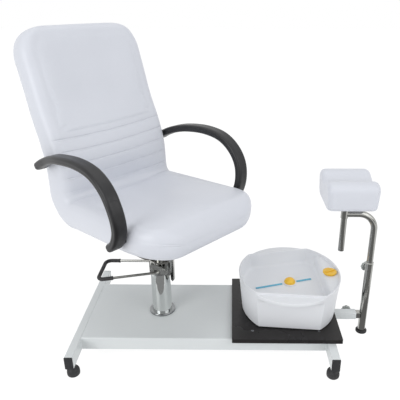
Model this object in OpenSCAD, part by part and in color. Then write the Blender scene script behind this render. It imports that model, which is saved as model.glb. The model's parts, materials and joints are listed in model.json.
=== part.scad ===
// Pedicure spa chair: an upholstered swivel chair on a hydraulic foot pump,
// a low steel platform, a lift-out foot bath on a black board, and a leg rest
// on a sliding, swinging post. Frame of the part: +X from the pump towards the
// leg rest, +Z up, origin on the floor in the middle of the rear near glide.
// The modules are drawn about the pump's axis. Millimetres.

/* [Platform] */
// Length of the platform over its two cross legs
base_len = 960; // [920:5:1020]
// Pump axis to the outer face of the rear cross leg
column_inset = 307; // [290:1:330]
// Length of each cross leg
leg_len = 576; // [540:2:640]
// Width of the leg tube
leg_w = 30; // [28:1:34]
// Height of the leg tube
leg_h = 50; // [46:1:56]
// Wall of the leg tube
leg_wall = 2; // [1.5:0.5:3]
// Length of the plug of a leg end cap
cap_plug = 14; // [10:1:20]
// Height of the domed glides under the legs
glide_h = 50; // [44:1:56]
// Diameter of the glides
glide_d = 46; // [40:1:48]
// Leg end to the glide's axis
glide_inset = 30; // [28:1:50]
// Width of the deck
deck_w = 364; // [330:2:390]
// Thickness of the deck sheet
deck_t = 2; // [1.5:0.25:3]
// Outer radius of the deck's folded edges
deck_fold_r = 5; // [4:0.5:8]
// Length of the board along X
board_len = 400; // [390:2:410]
// Width of the board across the platform
board_w = 410; // [400:2:430]
// Thickness of the board
board_t = 16; // [12:1:20]
// How far the board overhangs the front cross leg
board_over = 24; // [15:1:30]

/* [Pump] */
// Diameter of the chrome trim ring on the deck
ring_d = 100; // [98:1:110]
// Height of the trim ring
ring_h = 9; // [9:0.5:12]
// Outside diameter of the chrome shroud
shroud_d = 76; // [76:1:80]
// Length of the pump cylinder above the deck
pump_h = 176; // [160:2:190]
// Diameter of the piston
piston_d = 38; // [34:1:38]
// Lever pivot ahead of the pump axis
pivot_x = 27; // [27:0.5:29]
// Lever pivot above the top of the cylinder
pivot_up = 21; // [20:0.5:24]
// Pivot to the centre of the lever's end bar
lever_len = 253; // [230:1:270]
// Half spread of the lever's arms at the end bar
lever_spread = 72; // [66:1:78]
// Downward slope of the lever at rest
lever_slope = 4; // [2:0.5:6]
// Diameter of the lever rod
rod_d = 8.6; // [8:0.1:10]
// Diameter of the rubber grip on the lever
grip_d = 16; // [14:0.5:18]

/* [Chair] */
// Turn of the chair towards the near side of the platform
chair_turn = 42; // [0:1:90]
// Height of the underside of the seat cushion over the pump axis
seat_z = 482; // [476:1:494]
// Upward pitch of the seat towards its front
seat_pitch = 3; // [0:0.5:5]
// Half width of the seat and the back
seat_half_w = 248; // [236:1:254]
// Thickness of the seat cushion
seat_t = 117; // [100:1:124]
// Pump axis to the front of the seat
seat_front = 312; // [290:1:320]
// Pump axis to the crease between seat and back
crease_x = 194; // [186:1:204]
// Thickness of the back cushion at its top
back_t = 101; // [90:1:108]
// Crown of the seat cushion
seat_crown = 7; // [3:0.5:12]
// Depth of the sewn channels across the back
channel_d = 4; // [2:0.5:6]
// Distance between two sewn channels
channel_pitch = 46; // [40:1:48]
// Width of an armrest
arm_w = 46; // [40:1:54]
// Thickness of an armrest
arm_t = 27; // [24:1:32]
// Thickness of the fixing plates between armrest and chair
arm_plate_t = 3.5; // [3:0.5:6]

/* [Foot bath] */
// Length of the foot bath over its rim
tub_len = 390; // [372:2:396]
// Width of the foot bath between its two straight sides, at its middle
tub_w = 329; // [315:1:340]
// Width of the foot bath over its two hand grips
tub_over = 424; // [410:2:430]
// Angle of each straight side to the foot bath's own axis
tub_splay = 8.5; // [0:0.5:10]
// Height of the foot bath
tub_h = 154; // [140:1:160]
// Draft of the wall per side from rim to base
tub_draft = 14; // [8:1:18]
// Wall of the foot bath
tub_wall = 5; // [4:0.5:7]
// Floor of the basin above the base
tub_floor = 88; // [80:1:92]
// Diameter of the dial
dial_d = 57; // [50:1:60]

/* [Leg rest] */
// Outside width of the square sleeve under the front leg
sleeve_w = 30; // [28:1:32]
// Wall of the sleeve
sleeve_wall = 2.5; // [2:0.5:3]
// Length of the sleeve beyond the front leg
sleeve_out = 117; // [100:1:125]
// Pump axis to the post
post_x = 801; // [795:1:810]
// Outside diameter of the post's outer tube
post_d = 30; // [28:1:32]
// Top of the post's outer tube above the floor
post_top = 318; // [300:1:330]
// Diameter of the rubber foot of the post
post_foot_d = 44; // [40:1:50]
// Outside diameter of the swinging inner tube
mast_d = 24.6; // [23:0.2:25]
// Height of the mast's arm above the floor
arm_z = 521; // [505:1:530]
// Centreline radius of the mast's bend
mast_bend = 62; // [50:1:70]
// Post to the collar that holds the pad's stem
mast_reach = 114; // [105:1:120]
// Diameter of the pad's stem
stem_d = 23; // [20:0.5:24]
// Length of the pad's stem below the arm
stem_drop = 148; // [120:2:160]
// Length of the pad along X
pad_len = 168; // [150:2:180]
// Width of the pad across X
pad_w = 200; // [180:2:220]
// Height of the pad's humps
pad_h = 96; // [84:1:104]
// Depth of the trough between the humps
pad_trough = 22; // [14:1:28]
// Diameter of the clamp knobs
knob_d = 37; // [32:1:40]

/* [Hidden] */
$fn = 64;
eps = 0.01;
run_gap = 0.05;
fit_gap = 0.25;
see_gap = 0.3;

// ---- derived sizes
row_x = column_inset - leg_w / 2;
row_y = leg_len / 2 - glide_inset;
rear_x = -column_inset;
front_x = base_len - column_inset;
deck_x0 = rear_x + leg_w;
deck_x1 = front_x - leg_w;
deck_z = glide_h + leg_h;
plate_w = 150;
plate_t = 6;
flange_r = ring_d / 2 - 3.5;
flange_t = ring_h - 2;
pump_r = shroud_d / 2 - 4;
pump_top = deck_z + pump_h;
piston_r = piston_d / 2;
plunger_r = 5;
plunger_x = -(piston_r + plunger_r + 3);
pivot_z = pump_top + pivot_up;
pin_up = 23;
pin_r = 4.5;
pivot_r = 5;
head_half = 33;
strap_t = 5;
strap_y = head_half + see_gap;
eye_t = 4;
eye_y = strap_y + strap_t;
cover_r = shroud_d / 2 + 10.5;
cover_x = 7.5;
cover_top = pump_top + 64;
cover_wall = 2.5;
bearing_t = 6;
hub_z = seat_z - 52;
spigot_r = 14;
board_seat_t = 12;
seat_plate_t = 5;
seat_board_l = seat_front + crease_x - 114;
seat_board_w = 2 * seat_half_w - 90;
piston_len = 230;

board_x1 = front_x + board_over;
board_x0 = board_x1 - board_len;
board_z = deck_z + board_t;
board_screw_x0 = board_x0 + 76;
rib_to_screw = 38;
sleeve_top = deck_z - deck_t - 1;
sleeve_z = sleeve_top - sleeve_w / 2;
sleeve_x1 = front_x + sleeve_out;
sleeve_x0 = deck_x1 - 150;
bar_w = sleeve_w - 2 * sleeve_wall - 2 * fit_gap;
knob_x = sleeve_x1 - 30;
knob_z = post_top - 30;
post_r = post_d / 2;
mast_r = mast_d / 2;
post_bore = mast_r + 0.6;
collar_x = post_x - mast_reach;
stem_r = stem_d / 2;
collar_r = stem_r + 2.2;
collar_h = 30;
collar_top = arm_z + collar_h / 2;
socket_h = 32;
pad_z = collar_top + see_gap + socket_h + 3;
tub_x = (board_x0 + board_x1) / 2 + 22;
tub_y = 12;
tub_turn = 3.5;
tub_foot_h = 2;
tub_z = board_z + tub_foot_h;
arm_y = seat_half_w + arm_plate_t + arm_w / 2;

// ---- helpers
function mix(a, b, t) = a + (b - a) * t;
function cr(a, b, c, d, t) =
    0.5 * (2 * b + (c - a) * t + (2 * a - 5 * b + 4 * c - d) * t * t
    + (3 * b - a - 3 * c + d) * t * t * t);
// point at fraction u of a Catmull-Rom curve through the rows of P
function curve(P, u) =
    let (n = len(P) - 1, s = min(u * n, n - eps), i = floor(s))
    cr(P[max(i - 1, 0)], P[i], P[i + 1], P[min(i + 2, n)], s - i);
function turn2(v) = [-v[1], v[0]];
function unit2(v) = v / norm(v);
function bump(d, w) = abs(d) >= w ? 0 : 0.5 + 0.5 * cos(180 * d / w);
function sgn_pow(v, e) = sign(v) * pow(abs(v), e);

// closed skin over rings of equally many points: both ends capped, or the last
// ring joined to the first
module skin(rings, loop = false) {
    m = len(rings);
    n = len(rings[0]);
    mid0 = [for (k = [0:2]) [for (p = rings[0]) p[k]] * [for (p = rings[0]) 1] / n];
    mid1 = [for (k = [0:2]) [for (p = rings[m - 1]) p[k]] * [for (p = rings[0]) 1] / n];
    pts = [for (r = rings) for (p = r) p];
    walls = [for (i = [0:loop ? m - 1 : m - 2]) for (j = [0:n - 1]) for (h = [0, 1])
        let (a = i * n + j, b = i * n + (j + 1) % n, c = (i + 1) % m * n - i * n)
        h == 0 ? [a, b, b + c] : [a, b + c, a + c]];
    cap0 = [for (j = [0:n - 1]) [(j + 1) % n, j, m * n]];
    cap1 = [for (j = [0:n - 1]) [(m - 1) * n + j, (m - 1) * n + (j + 1) % n, m * n + 1]];
    polyhedron(points = loop ? pts : concat(pts, [mid0, mid1]),
        faces = loop ? walls : concat(walls, cap0, cap1), convexity = 6);
}

module ring_of(r, hole, h) {
    difference() {
        cylinder(r = r, h = h);
        translate([0, 0, -1]) cylinder(r = hole, h = h + 2);
    }
}

module hex_head(r, h) {
    cylinder(r = r, h = h, $fn = 6);
}

// rounded rectangle, exact arcs
module round_rect(w, h, r) {
    translate([-w / 2 + r, -h / 2]) square([w - 2 * r, h]);
    translate([-w / 2, -h / 2 + r]) square([w, h - 2 * r]);
    for (sx = [-1, 1], sy = [-1, 1])
        translate([sx * (w / 2 - r), sy * (h / 2 - r)]) circle(r);
}

// flat link between two centres, along +X of its own plane
module link2d(d, r) {
    circle(r);
    translate([d, 0]) circle(r);
    translate([0, -r]) square([d, 2 * r]);
}

module placed() {
    translate([row_x, row_y, 0]) children();
}

module chair_frame() {
    rotate([0, 0, -chair_turn]) children();
}

// ---- platform
module tray_section(w, h, r) {
    translate([-w / 2, 0]) square([w, h - r]);
    translate([-w / 2 + r, 0]) square([w - 2 * r, h]);
    for (s = [-1, 1]) translate([s * (w / 2 - r), h - r]) circle(r);
}

module pump_bolt_axes() {
    for (a = [45:90:315]) rotate([0, 0, a]) translate([flange_r - 6.5, 0, 0]) children();
}

module board_screw_axes() {
    for (x = [board_screw_x0, deck_x1 - 24], s = [-1, 1])
        translate([x, s * (deck_w / 2 - 28), 0]) children();
}

module deck_tray() {
    color([0.86, 0.87, 0.87])
    difference() {
        translate([deck_x0, 0, glide_h]) rotate([90, 0, 90])
            linear_extrude(deck_x1 - deck_x0) difference() {
                tray_section(deck_w, leg_h, deck_fold_r);
                translate([0, -1])
                    tray_section(deck_w - 2 * deck_t, leg_h + 1 - deck_t, deck_fold_r - deck_t);
            }
        pump_bolt_axes() translate([0, 0, glide_h]) cylinder(r = 4.2, h = leg_h + 1);
        board_screw_axes() translate([0, 0, glide_h]) cylinder(r = 2.4, h = leg_h + 1);
    }
}

module deck_ribs() {
    rib_w = 30;
    rib_h = 20;
    span = deck_w - 2 * deck_fold_r;
    color([0.72, 0.73, 0.74])
    for (x = [deck_x0 + 100, plate_w / 2 + 70, board_screw_x0 - rib_to_screw])
        translate([x, span / 2, deck_z - deck_t - rib_h]) rotate([90, 0, 0])
            linear_extrude(span) difference() {
                translate([-rib_w / 2, 0]) square([rib_w, rib_h]);
                translate([-rib_w / 2 + 2, -1]) square([rib_w - 4, rib_h - 1]);
            }
}

module leg_tube(x0) {
    color([0.86, 0.87, 0.87])
    difference() {
        translate([x0 + leg_w / 2, leg_len / 2, glide_h + leg_h / 2]) rotate([90, 0, 0])
            linear_extrude(leg_len) difference() {
                round_rect(leg_w, leg_h, 3);
                round_rect(leg_w - 2 * leg_wall, leg_h - 2 * leg_wall, 1);
            }
        for (s = [-1, 1]) translate([x0 + leg_w / 2, s * (leg_len / 2 - glide_inset), 0])
            cylinder(r = 4.1, h = glide_h + leg_wall + 2);
        if (x0 > 0) translate([x0 - 1, -sleeve_w / 2, sleeve_z - sleeve_w / 2])
            cube([leg_w + 2, sleeve_w, sleeve_w]);
    }
}

module cross_leg_rear() {
    leg_tube(rear_x);
}

module cross_leg_front() {
    leg_tube(front_x - leg_w);
}

module leg_end_caps() {
    cap_t = 3;
    color([0.16, 0.16, 0.17])
    for (x = [rear_x, front_x - leg_w], s = [-1, 1])
        translate([x + leg_w / 2, s * leg_len / 2, glide_h + leg_h / 2])
            rotate([s * -90, 0, 0]) {
                linear_extrude(cap_t) round_rect(leg_w, leg_h, 3);
                translate([0, 0, -cap_plug]) linear_extrude(cap_plug + eps) difference() {
                    round_rect(leg_w - 2 * leg_wall - 0.4, leg_h - 2 * leg_wall - 0.4, 1);
                    square([leg_w - 2 * leg_wall - 5, leg_h - 2 * leg_wall - 5], center = true);
                }
            }
}

module glide_axes() {
    for (x = [rear_x + leg_w / 2, front_x - leg_w / 2], s = [-1, 1])
        translate([x, s * (leg_len / 2 - glide_inset), 0]) children();
}

module glide_feet() {
    r = glide_d / 2;
    top_r = leg_w / 2 + 1;
    color([0.15, 0.15, 0.16])
    glide_axes() difference() {
        rotate_extrude() {
            square([r - 9, glide_h]);
            translate([0, 9]) square([r, glide_h - 9 - (r - top_r)]);
            translate([r - 9, 9]) circle(9);
            polygon([[0, glide_h - (r - top_r) - eps], [r, glide_h - (r - top_r) - eps],
                [top_r, glide_h], [0, glide_h]]);
        }
        translate([0, 0, glide_h - 24]) cylinder(r = 4.1, h = 30);
    }
}

module glide_studs() {
    color([0.6, 0.6, 0.6])
    glide_axes() translate([0, 0, glide_h - 23]) {
        cylinder(r = 4, h = 23 + leg_wall + 9);
        translate([0, 0, 23 + leg_wall]) hex_head(7.2, 6);
    }
}

module screw_profile(r_head, r_shank, h_head, l) {
    polygon([[0, 0], [r_head, 0], [r_shank, -h_head], [r_shank, -l], [0, -l]]);
}

module tub_board() {
    color([0.14, 0.14, 0.15])
    difference() {
        translate([(board_x0 + board_x1) / 2, 0, deck_z]) linear_extrude(board_t)
            round_rect(board_len, board_w, 4);
        board_screw_axes() translate([0, 0, board_z]) {
            rotate_extrude() screw_profile(5.2, 2.4, 3, board_t + 1);
            translate([0, 0, -eps]) cylinder(r = 5.2, h = 1);
        }
    }
}

module board_screws() {
    color([0.5, 0.5, 0.5])
    board_screw_axes() translate([0, 0, board_z - 0.1])
        rotate_extrude() screw_profile(5, 2.2, 3, board_t + deck_t + 6);
}

module extension_sleeve() {
    color([0.87, 0.88, 0.88])
    difference() {
        union() {
            translate([sleeve_x0, 0, sleeve_z]) rotate([90, 0, 90])
                linear_extrude(sleeve_x1 - sleeve_x0) difference() {
                    round_rect(sleeve_w, sleeve_w, 2.5);
                    square(sleeve_w - 2 * sleeve_wall, center = true);
                }
            translate([knob_x, sleeve_w / 2 - eps, sleeve_z]) rotate([-90, 0, 0])
                cylinder(r = 8, h = 5);
        }
        translate([knob_x, 0, sleeve_z]) rotate([-90, 0, 0])
            cylinder(r = 4 + run_gap, h = sleeve_w);
    }
}

// ---- pump
module pump_plate() {
    color([0.45, 0.46, 0.47])
    difference() {
        translate([0, 0, deck_z - deck_t - plate_t]) linear_extrude(plate_t)
            round_rect(plate_w, plate_w, 8);
        pump_bolt_axes() translate([0, 0, glide_h]) cylinder(r = 4.2, h = leg_h);
    }
}

module pump_bolts() {
    z0 = deck_z - deck_t - plate_t;
    color([0.62, 0.62, 0.62])
    pump_bolt_axes() {
        translate([0, 0, z0 - 5.5]) hex_head(7.2, 5.5);
        translate([0, 0, z0 - eps]) cylinder(r = 4, h = plate_t + deck_t + flange_t - 0.5);
    }
}

module pump_body() {
    color([0.55, 0.56, 0.57])
    difference() {
        union() {
            translate([0, 0, deck_z]) cylinder(r = flange_r, h = flange_t);
            translate([0, 0, deck_z]) cylinder(r = pump_r, h = pump_h);
        }
        translate([0, 0, deck_z + 12]) cylinder(r = piston_r + run_gap, h = pump_h);
        translate([plunger_x, 0, pump_top - 60]) cylinder(r = plunger_r + run_gap, h = 61);
        pump_bolt_axes() translate([0, 0, deck_z - 1]) cylinder(r = 4.05, h = flange_t + 2);
    }
}

module pump_shroud() {
    color([0.8, 0.82, 0.82])
    translate([0, 0, deck_z + flange_t]) ring_of(shroud_d / 2, pump_r + 2, pump_h - flange_t);
}

module trim_ring() {
    r = ring_d / 2;
    hole = shroud_d / 2 + fit_gap;
    color([0.7, 0.72, 0.73])
    translate([0, 0, deck_z]) rotate_extrude() difference() {
        union() {
            translate([hole, 0]) square([r - hole, ring_h - 4]);
            translate([hole, 0]) square([r - hole - 4, ring_h]);
            translate([r - 4, ring_h - 4]) circle(4);
        }
        translate([0, -1]) square([flange_r + fit_gap, flange_t + fit_gap + 1]);
    }
}

module pump_head() {
    boss_x = 12;
    boss_l = pivot_x + 15 - boss_x;
    boss_h = pivot_up + 11;
    color([0.42, 0.43, 0.44])
    difference() {
        union() {
            translate([0, 0, pump_top]) cylinder(r = shroud_d / 2, h = 8);
            translate([boss_x, -head_half, pump_top]) cube([boss_l, 2 * head_half, boss_h]);
            for (s = [-1, 1]) translate([pivot_x + 7, s * 20, pump_top])
                cylinder(r = 5, h = cover_top - cover_wall - pump_top);
        }
        translate([0, 0, pump_top - 1]) cylinder(r = piston_r + 1, h = boss_h + 2);
        translate([plunger_x, 0, pump_top - 1]) cylinder(r = plunger_r + run_gap, h = 20);
        translate([pivot_x, 0, pivot_z]) rotate([90, 0, 0])
            cylinder(r = pivot_r + run_gap, h = 2 * head_half + 2, center = true);
        for (s = [-1, 1]) translate([pivot_x + 7, s * 20, cover_top - 16])
            cylinder(r = 2.1, h = 20);
    }
}

module pivot_bolt() {
    reach = eye_y + eye_t + see_gap;
    color([0.75, 0.76, 0.76])
    translate([pivot_x, 0, pivot_z]) rotate([90, 0, 0]) {
        cylinder(r = pivot_r, h = 2 * reach + 12, center = true);
        for (s = [0, 1]) mirror([0, 0, s]) translate([0, 0, reach]) {
            cylinder(r = 9, h = 1.5);
            translate([0, 0, 1.5]) hex_head(8, 6);
        }
    }
}

// chrome cap over the pump head: two side lobes with the linkage open between
module head_cover() {
    low = pump_top - 30;
    color([0.45, 0.47, 0.48])
    difference() {
        translate([cover_x, 0, low]) cylinder(r = cover_r, h = cover_top - low);
        translate([cover_x, 0, low - 1])
            cylinder(r = cover_r - cover_wall, h = cover_top - low - cover_wall + 1);
        cylinder(r = piston_r + 2, h = cover_top + 1);
        translate([cover_x, 60, 0]) rotate([90, 0, 0]) linear_extrude(120)
            polygon([[-cover_r - 1, low - 2], [-cover_r - 1, pump_top - 12],
                [8 - cover_r, pump_top - 4], [8 - cover_r, cover_top - 7],
                [cover_r - 13, cover_top - 7], [cover_r - 13, pump_top + 4],
                [cover_r - 12, pump_top - 18], [cover_r - 7, low - 2]]);
        for (s = [0, 1]) mirror([0, s, 0])
            translate([cover_x - cover_r - 1, 12, low - 1])
                cube([cover_r / 2, cover_r, cover_top - 6 - low]);
        for (s = [-1, 1]) translate([pivot_x + 7, s * 20, 0]) cylinder(r = 2.3, h = 999);
    }
}

module cover_screws() {
    color([0.7, 0.7, 0.7])
    for (s = [-1, 1]) translate([pivot_x + 7, s * 20, cover_top]) {
        translate([0, 0, -12]) cylinder(r = 2, h = 12 + eps);
        cylinder(r = 4, h = 2);
    }
}

// ---- pump lever, drawn along -X from its pivot in its own sloped plane
module in_lever_plane() {
    translate([pivot_x, 0, pivot_z]) rotate([0, -lever_slope, 0]) mirror([1, 0, 0]) children();
}

eye_mid = eye_y + eye_t / 2;
rod_y = strap_y + strap_t + rod_d / 2 + 0.1;
rod_start = 24;
rod_angle = atan((lever_spread - rod_y) / (lever_len - rod_start));
rod_bend = 20;
rod_tan = rod_bend * tan((90 + rod_angle) / 2);
rod_run = norm([lever_len - rod_start, lever_spread - rod_y]) - rod_tan;

// centreline of the U-shaped rod: rows of [point, direction]; arm_l of each arm
rod_c = [lever_len - rod_bend, lever_spread - rod_tan];
rod_dir = [cos(rod_angle), sin(rod_angle)];
function half_path(arm_l) = concat(
    [[rod_c + rod_bend * turn2(rod_dir) - arm_l * rod_dir, rod_dir]],
    [for (k = [0:7]) let (a = (90 + rod_angle) * (1 - k / 7))
        [rod_c + rod_bend * [cos(a), sin(a)], [sin(a), -cos(a)]]]);
function flip(v) = [v[0], -v[1]];
function rod_path(arm_l) = let (h = half_path(arm_l), n = len(h) - 1)
    concat(h, [for (k = [0:n]) [flip(h[n - k][0]), -flip(h[n - k][1])]]);
function tube_rings(path, r) = [for (q = path) [for (a = [0:30:330])
    let (p = q[0] + r * cos(a) * turn2(q[1])) [p[0], p[1], r * sin(a)]]];
function reversed(v) = [for (k = [len(v) - 1:-1:0]) v[k]];

module lever_fork() {
    color([0.75, 0.76, 0.75])
    in_lever_plane() skin(tube_rings(rod_path(rod_run), rod_d / 2));
}

module lever_eyes() {
    color([0.7, 0.71, 0.7])
    in_lever_plane() for (s = [-1, 1]) translate([0, s * eye_mid + eye_t / 2, 0])
        rotate([90, 0, 0]) linear_extrude(eye_t) difference() {
            union() {
                circle(8.5);
                translate([0, -8.5]) square([rod_start - rod_d / 2 * sin(rod_angle) - eps, 17]);
            }
            circle(pivot_r + run_gap);
        }
}

module lever_grip() {
    color([0.12, 0.12, 0.13])
    in_lever_plane() skin(concat(tube_rings(rod_path(36), grip_d / 2),
        reversed(tube_rings(rod_path(36), rod_d / 2 + run_gap))), true);
}

pin_dx = pivot_x - plunger_x - 1;
strap_len = norm([pin_dx, pin_up]);

module rocker_straps() {
    color([0.5, 0.52, 0.51])
    for (s = [-1, 1]) translate([pivot_x, s * (strap_y + strap_t / 2), pivot_z])
        rotate([90, 0, 0]) translate([0, 0, -strap_t / 2])
        linear_extrude(strap_t) difference() {
            rotate(180 - atan(pin_up / pin_dx)) link2d(strap_len, 9);
            circle(pivot_r + run_gap);
            translate([-pin_dx, pin_up]) circle(pin_r + run_gap);
        }
}

module cross_pin() {
    reach = strap_y + strap_t;
    color([0.7, 0.71, 0.7])
    translate([pivot_x - pin_dx, 0, pivot_z + pin_up]) rotate([90, 0, 0]) {
        cylinder(r = pin_r, h = 2 * reach, center = true);
        for (s = [0, 1]) mirror([0, 0, s]) translate([0, 0, reach]) cylinder(r = 7, h = 2.5);
    }
}

module pump_plunger() {
    top = pivot_z + pin_up - pin_r - see_gap;
    color([0.72, 0.73, 0.73])
    translate([plunger_x, 0, 0]) {
        translate([0, 0, pump_top - 32]) cylinder(r = plunger_r, h = top - pump_top + 30);
        translate([0, 0, top - 4]) cylinder(r = plunger_r + 2, h = 4);
    }
}

// ---- lift
module piston_tube() {
    foot = hub_z - bearing_t - piston_len;
    color([0.78, 0.79, 0.8])
    union() {
        translate([0, 0, foot]) cylinder(r = piston_r, h = hub_z - bearing_t - foot);
        translate([0, 0, hub_z - bearing_t - eps]) cylinder(r = spigot_r, h = bearing_t + 30);
    }
}

module swivel_bearing() {
    color([0.35, 0.35, 0.36])
    translate([0, 0, hub_z - bearing_t]) ring_of(26, spigot_r + run_gap, bearing_t - see_gap);
}

// ---- chair; its own frame faces +X
module seat_frame() {
    chair_frame() translate([0, 0, seat_z]) rotate([0, -seat_pitch, 0]) children();
}

module seat_bolt_axes() {
    for (x = [-62, 62], y = [-82, 82]) translate([x, y, 0]) children();
}

module seat_plate() {
    low = -board_seat_t - seat_plate_t;
    color([0.2, 0.2, 0.21])
    difference() {
        union() {
            seat_frame() translate([0, 0, low]) linear_extrude(seat_plate_t)
                round_rect(170, 210, 14);
            chair_frame() difference() {
                translate([0, 0, hub_z]) cylinder(r = 25, h = seat_z - board_seat_t - hub_z);
                translate([0, 0, seat_z]) rotate([0, -seat_pitch, 0])
                    translate([-60, -60, low + 1]) cube([120, 120, 60]);
            }
        }
        translate([0, 0, hub_z - 1]) cylinder(r = spigot_r + run_gap, h = 33);
        seat_frame() seat_bolt_axes() translate([0, 0, low - 1]) cylinder(r = 4.2, h = 10);
    }
}

module seat_bolts() {
    low = -board_seat_t - seat_plate_t;
    color([0.6, 0.6, 0.6])
    seat_frame() seat_bolt_axes() {
        translate([0, 0, low - 5]) hex_head(7.2, 5);
        translate([0, 0, low - eps]) cylinder(r = 4, h = seat_plate_t + board_seat_t - 1);
    }
}

module seat_board() {
    color([0.6, 0.48, 0.34])
    seat_frame() difference() {
        translate([8, 0, -board_seat_t]) linear_extrude(board_seat_t - eps)
            round_rect(seat_board_l, seat_board_w, 40);
        seat_bolt_axes() translate([0, 0, -board_seat_t - 1]) cylinder(r = 4.2, h = 14);
    }
}

// Ring of a cushion: half width w, thickness t, edge radius r, crown and hollow
// of its show face; y runs across, n from the underside to the show face.
FACE = [-0.9, -0.74, -0.5, -0.25, 0, 0.25, 0.5, 0.74, 0.9];
BACK = [0.85, 0.4, 0, -0.4, -0.85];
function corner(w, t, r, a0, sy, sn) =
    [for (k = [0.12, 0.5, 0.88]) let (a = a0 + 90 * k)
        [w * sy - r * sy + r * cos(a), (sn > 0 ? t - r : r) + r * sin(a)]];
function cushion_ring(w, t, r, crown, hollow) = let (f = w - r) concat(
    [for (k = FACE) [k * f, t + crown * (1 - k * k) - hollow * bump(k, 0.8)]],
    [for (k = [2, 1, 0]) corner(w, t, r, 0, 1, 1)[k]],
    [[w + 1.5, t / 2]],
    [for (k = [2, 1, 0]) corner(w, t, r, -90, 1, -1)[k]],
    [for (k = BACK) [k * f, 0]],
    [for (k = [2, 1, 0]) corner(w, t, r, 180, -1, -1)[k]],
    [[-w - 1.5, t / 2]],
    [for (k = [2, 1, 0]) corner(w, t, r, 90, -1, 1)[k]]);
// ring placed in the chair's frame: p on the show face, n its outward normal
function place(ring, p, n, t) =
    [for (q = ring) let (d = q[1] - t) [p[0] + n[0] * d, q[0], p[1] + n[1] * d]];

top_n = [-sin(seat_pitch), cos(seat_pitch)];
seat_dir = [cos(seat_pitch), sin(seat_pitch)];
function seat_face(x) = [0, seat_z] + x * seat_dir + seat_t * top_n;
seat_corner = 118;
seat_nose = 60;
seat_rise = 47;
function plan_w(x, front, r) = x <= front - r ? 0 : r - sqrt(max(r * r - pow(x - front + r, 2), 0));
function seat_ring(x) = let (
    drop = plan_w(x, seat_front, seat_nose), rise = plan_w(x, seat_front, seat_rise),
    w = seat_half_w - plan_w(x, seat_front, seat_corner), t = seat_t - drop - rise,
    edge = min(26, t / 2 - 1), p = seat_face(x) - drop * top_n)
    place(cushion_ring(w, t, edge, seat_crown * min(1, t / seat_t), 0), p, top_n, t);

bend_r = 14;
bend_c = seat_face(-crease_x + bend_r) + bend_r * top_n;
function bend_ring(a, t) = let (n = [cos(a), sin(a)])
    place(cushion_ring(seat_half_w, t, 26, seat_crown / 2, 0), bend_c - bend_r * n, n, t);
split_a = 50;

function seat_stations() = concat(
    [for (a = [86, 70, 55, 40, 25, 10]) seat_front - seat_corner * (1 - sin(a))],
    [for (k = [0:4]) mix(seat_front - seat_corner, -crease_x + bend_r, k / 4)]);

module seat_cushion() {
    color([0.93, 0.94, 0.96])
    chair_frame() skin(concat([for (x = seat_stations()) seat_ring(x)],
        [for (a = [80, 65, split_a]) bend_ring(a, seat_t + (80 - a) * 0.12)]));
}

// front face of the back in the chair's frame, from the crease up
back_line = [[bend_c[0] - bend_r, bend_c[1] + 8], [-208, 709], [-237, 803], [-278, 893],
    [-309, 986], [-341, 1080], [-374, 1172]];
back_u = 6;
function back_pt(u) = curve(back_line, u);
function back_n(u) = let (d = back_pt(min(u + 0.01, 1)) - back_pt(max(u - 0.01, 0)))
    -turn2(unit2(d));
back_corner = 106;
back_len = 592;
first_channel = 26;
function channel(s) = max([for (k = [0:4]) bump(s - first_channel - k * channel_pitch, 9)]);
function back_ring(u) = let (
    s = u * back_len, left = back_len * (1 - u),
    cut = plan_w(back_len - left, back_len, back_corner),
    round_t = plan_w(back_len - left, back_len, 46),
    t = mix(seat_t + 2, back_t, min(1, u * 1.6)) - round_t * 1.5,
    w = seat_half_w - cut, edge = min(26, t / 2 - 1),
    hollow = 8 * bump(u - 0.72, 0.36), n = back_n(u),
    p = back_pt(u) - (round_t * 0.75 + channel_d * channel(s)) * n)
    place(cushion_ring(w, t - channel_d * channel(s), edge, 4 * min(1, t / back_t), hollow), p, n,
        t - channel_d * channel(s));
function back_stations() = concat(
    [for (k = [0:4]) for (d = [-9, -4, 0, 4, 9]) (first_channel + k * channel_pitch + d) / back_len],
    [for (k = [1:4]) mix(240, back_len - back_corner, k / 4) / back_len],
    [for (a = [14, 28, 42, 56, 70, 84]) 1 - back_corner * (1 - sin(a)) / back_len]);

module back_cushion() {
    color([0.93, 0.94, 0.96])
    chair_frame() skin(concat(
        [for (a = [split_a, 30, 12]) bend_ring(a, seat_t + (80 - a) * 0.12)],
        [for (u = back_stations()) back_ring(u)]));
}

// centreline of an armrest in the chair's frame
arm_line = [[-286, 708], [-246, 730], [-188, 753], [-118, 769], [-20, 777], [66, 765],
    [126, 727], [159, 672], [165, 610], [146, 558], [114, 530]];
arm_steps = 26;
// outward bow of an armrest between its two straight fixing ends
arm_bow = 8;
function bow(u) = let (t = min(max((min(u, 1 - u) - 0.14) / 0.2, 0), 1))
    arm_bow * t * t * (3 - 2 * t);
function arm_ring(u, y0) = let (
    d = curve(arm_line, min(u + 0.01, 1)) - curve(arm_line, max(u - 0.01, 0)),
    n = turn2(unit2(d)), p = curve(arm_line, u), e = min(u, 1 - u) * 620,
    k = e >= 16 ? 1 : 0.45 + 0.55 * sqrt(max(0, 1 - pow(1 - e / 16, 2))))
    [for (a = [0:22.5:337.5]) let (
        q = k * arm_t / 2 * sgn_pow(sin(a), 0.62),
        y = (arm_w / 2 - (1 - k) * 6) * sgn_pow(cos(a), 0.5))
        [p[0] + n[0] * q, y0 + y, p[1] + n[1] * q]];

module armrest(s) {
    stations = concat([0, 0.008, 0.016], [for (k = [1:arm_steps - 1]) k / arm_steps],
        [0.984, 0.992, 1]);
    color([0.15, 0.15, 0.16])
    chair_frame() skin([for (u = stations) arm_ring(u, s * (arm_y + bow(u)))]);
}

module armrest_left() {
    armrest(1);
}

module armrest_right() {
    armrest(-1);
}

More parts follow.
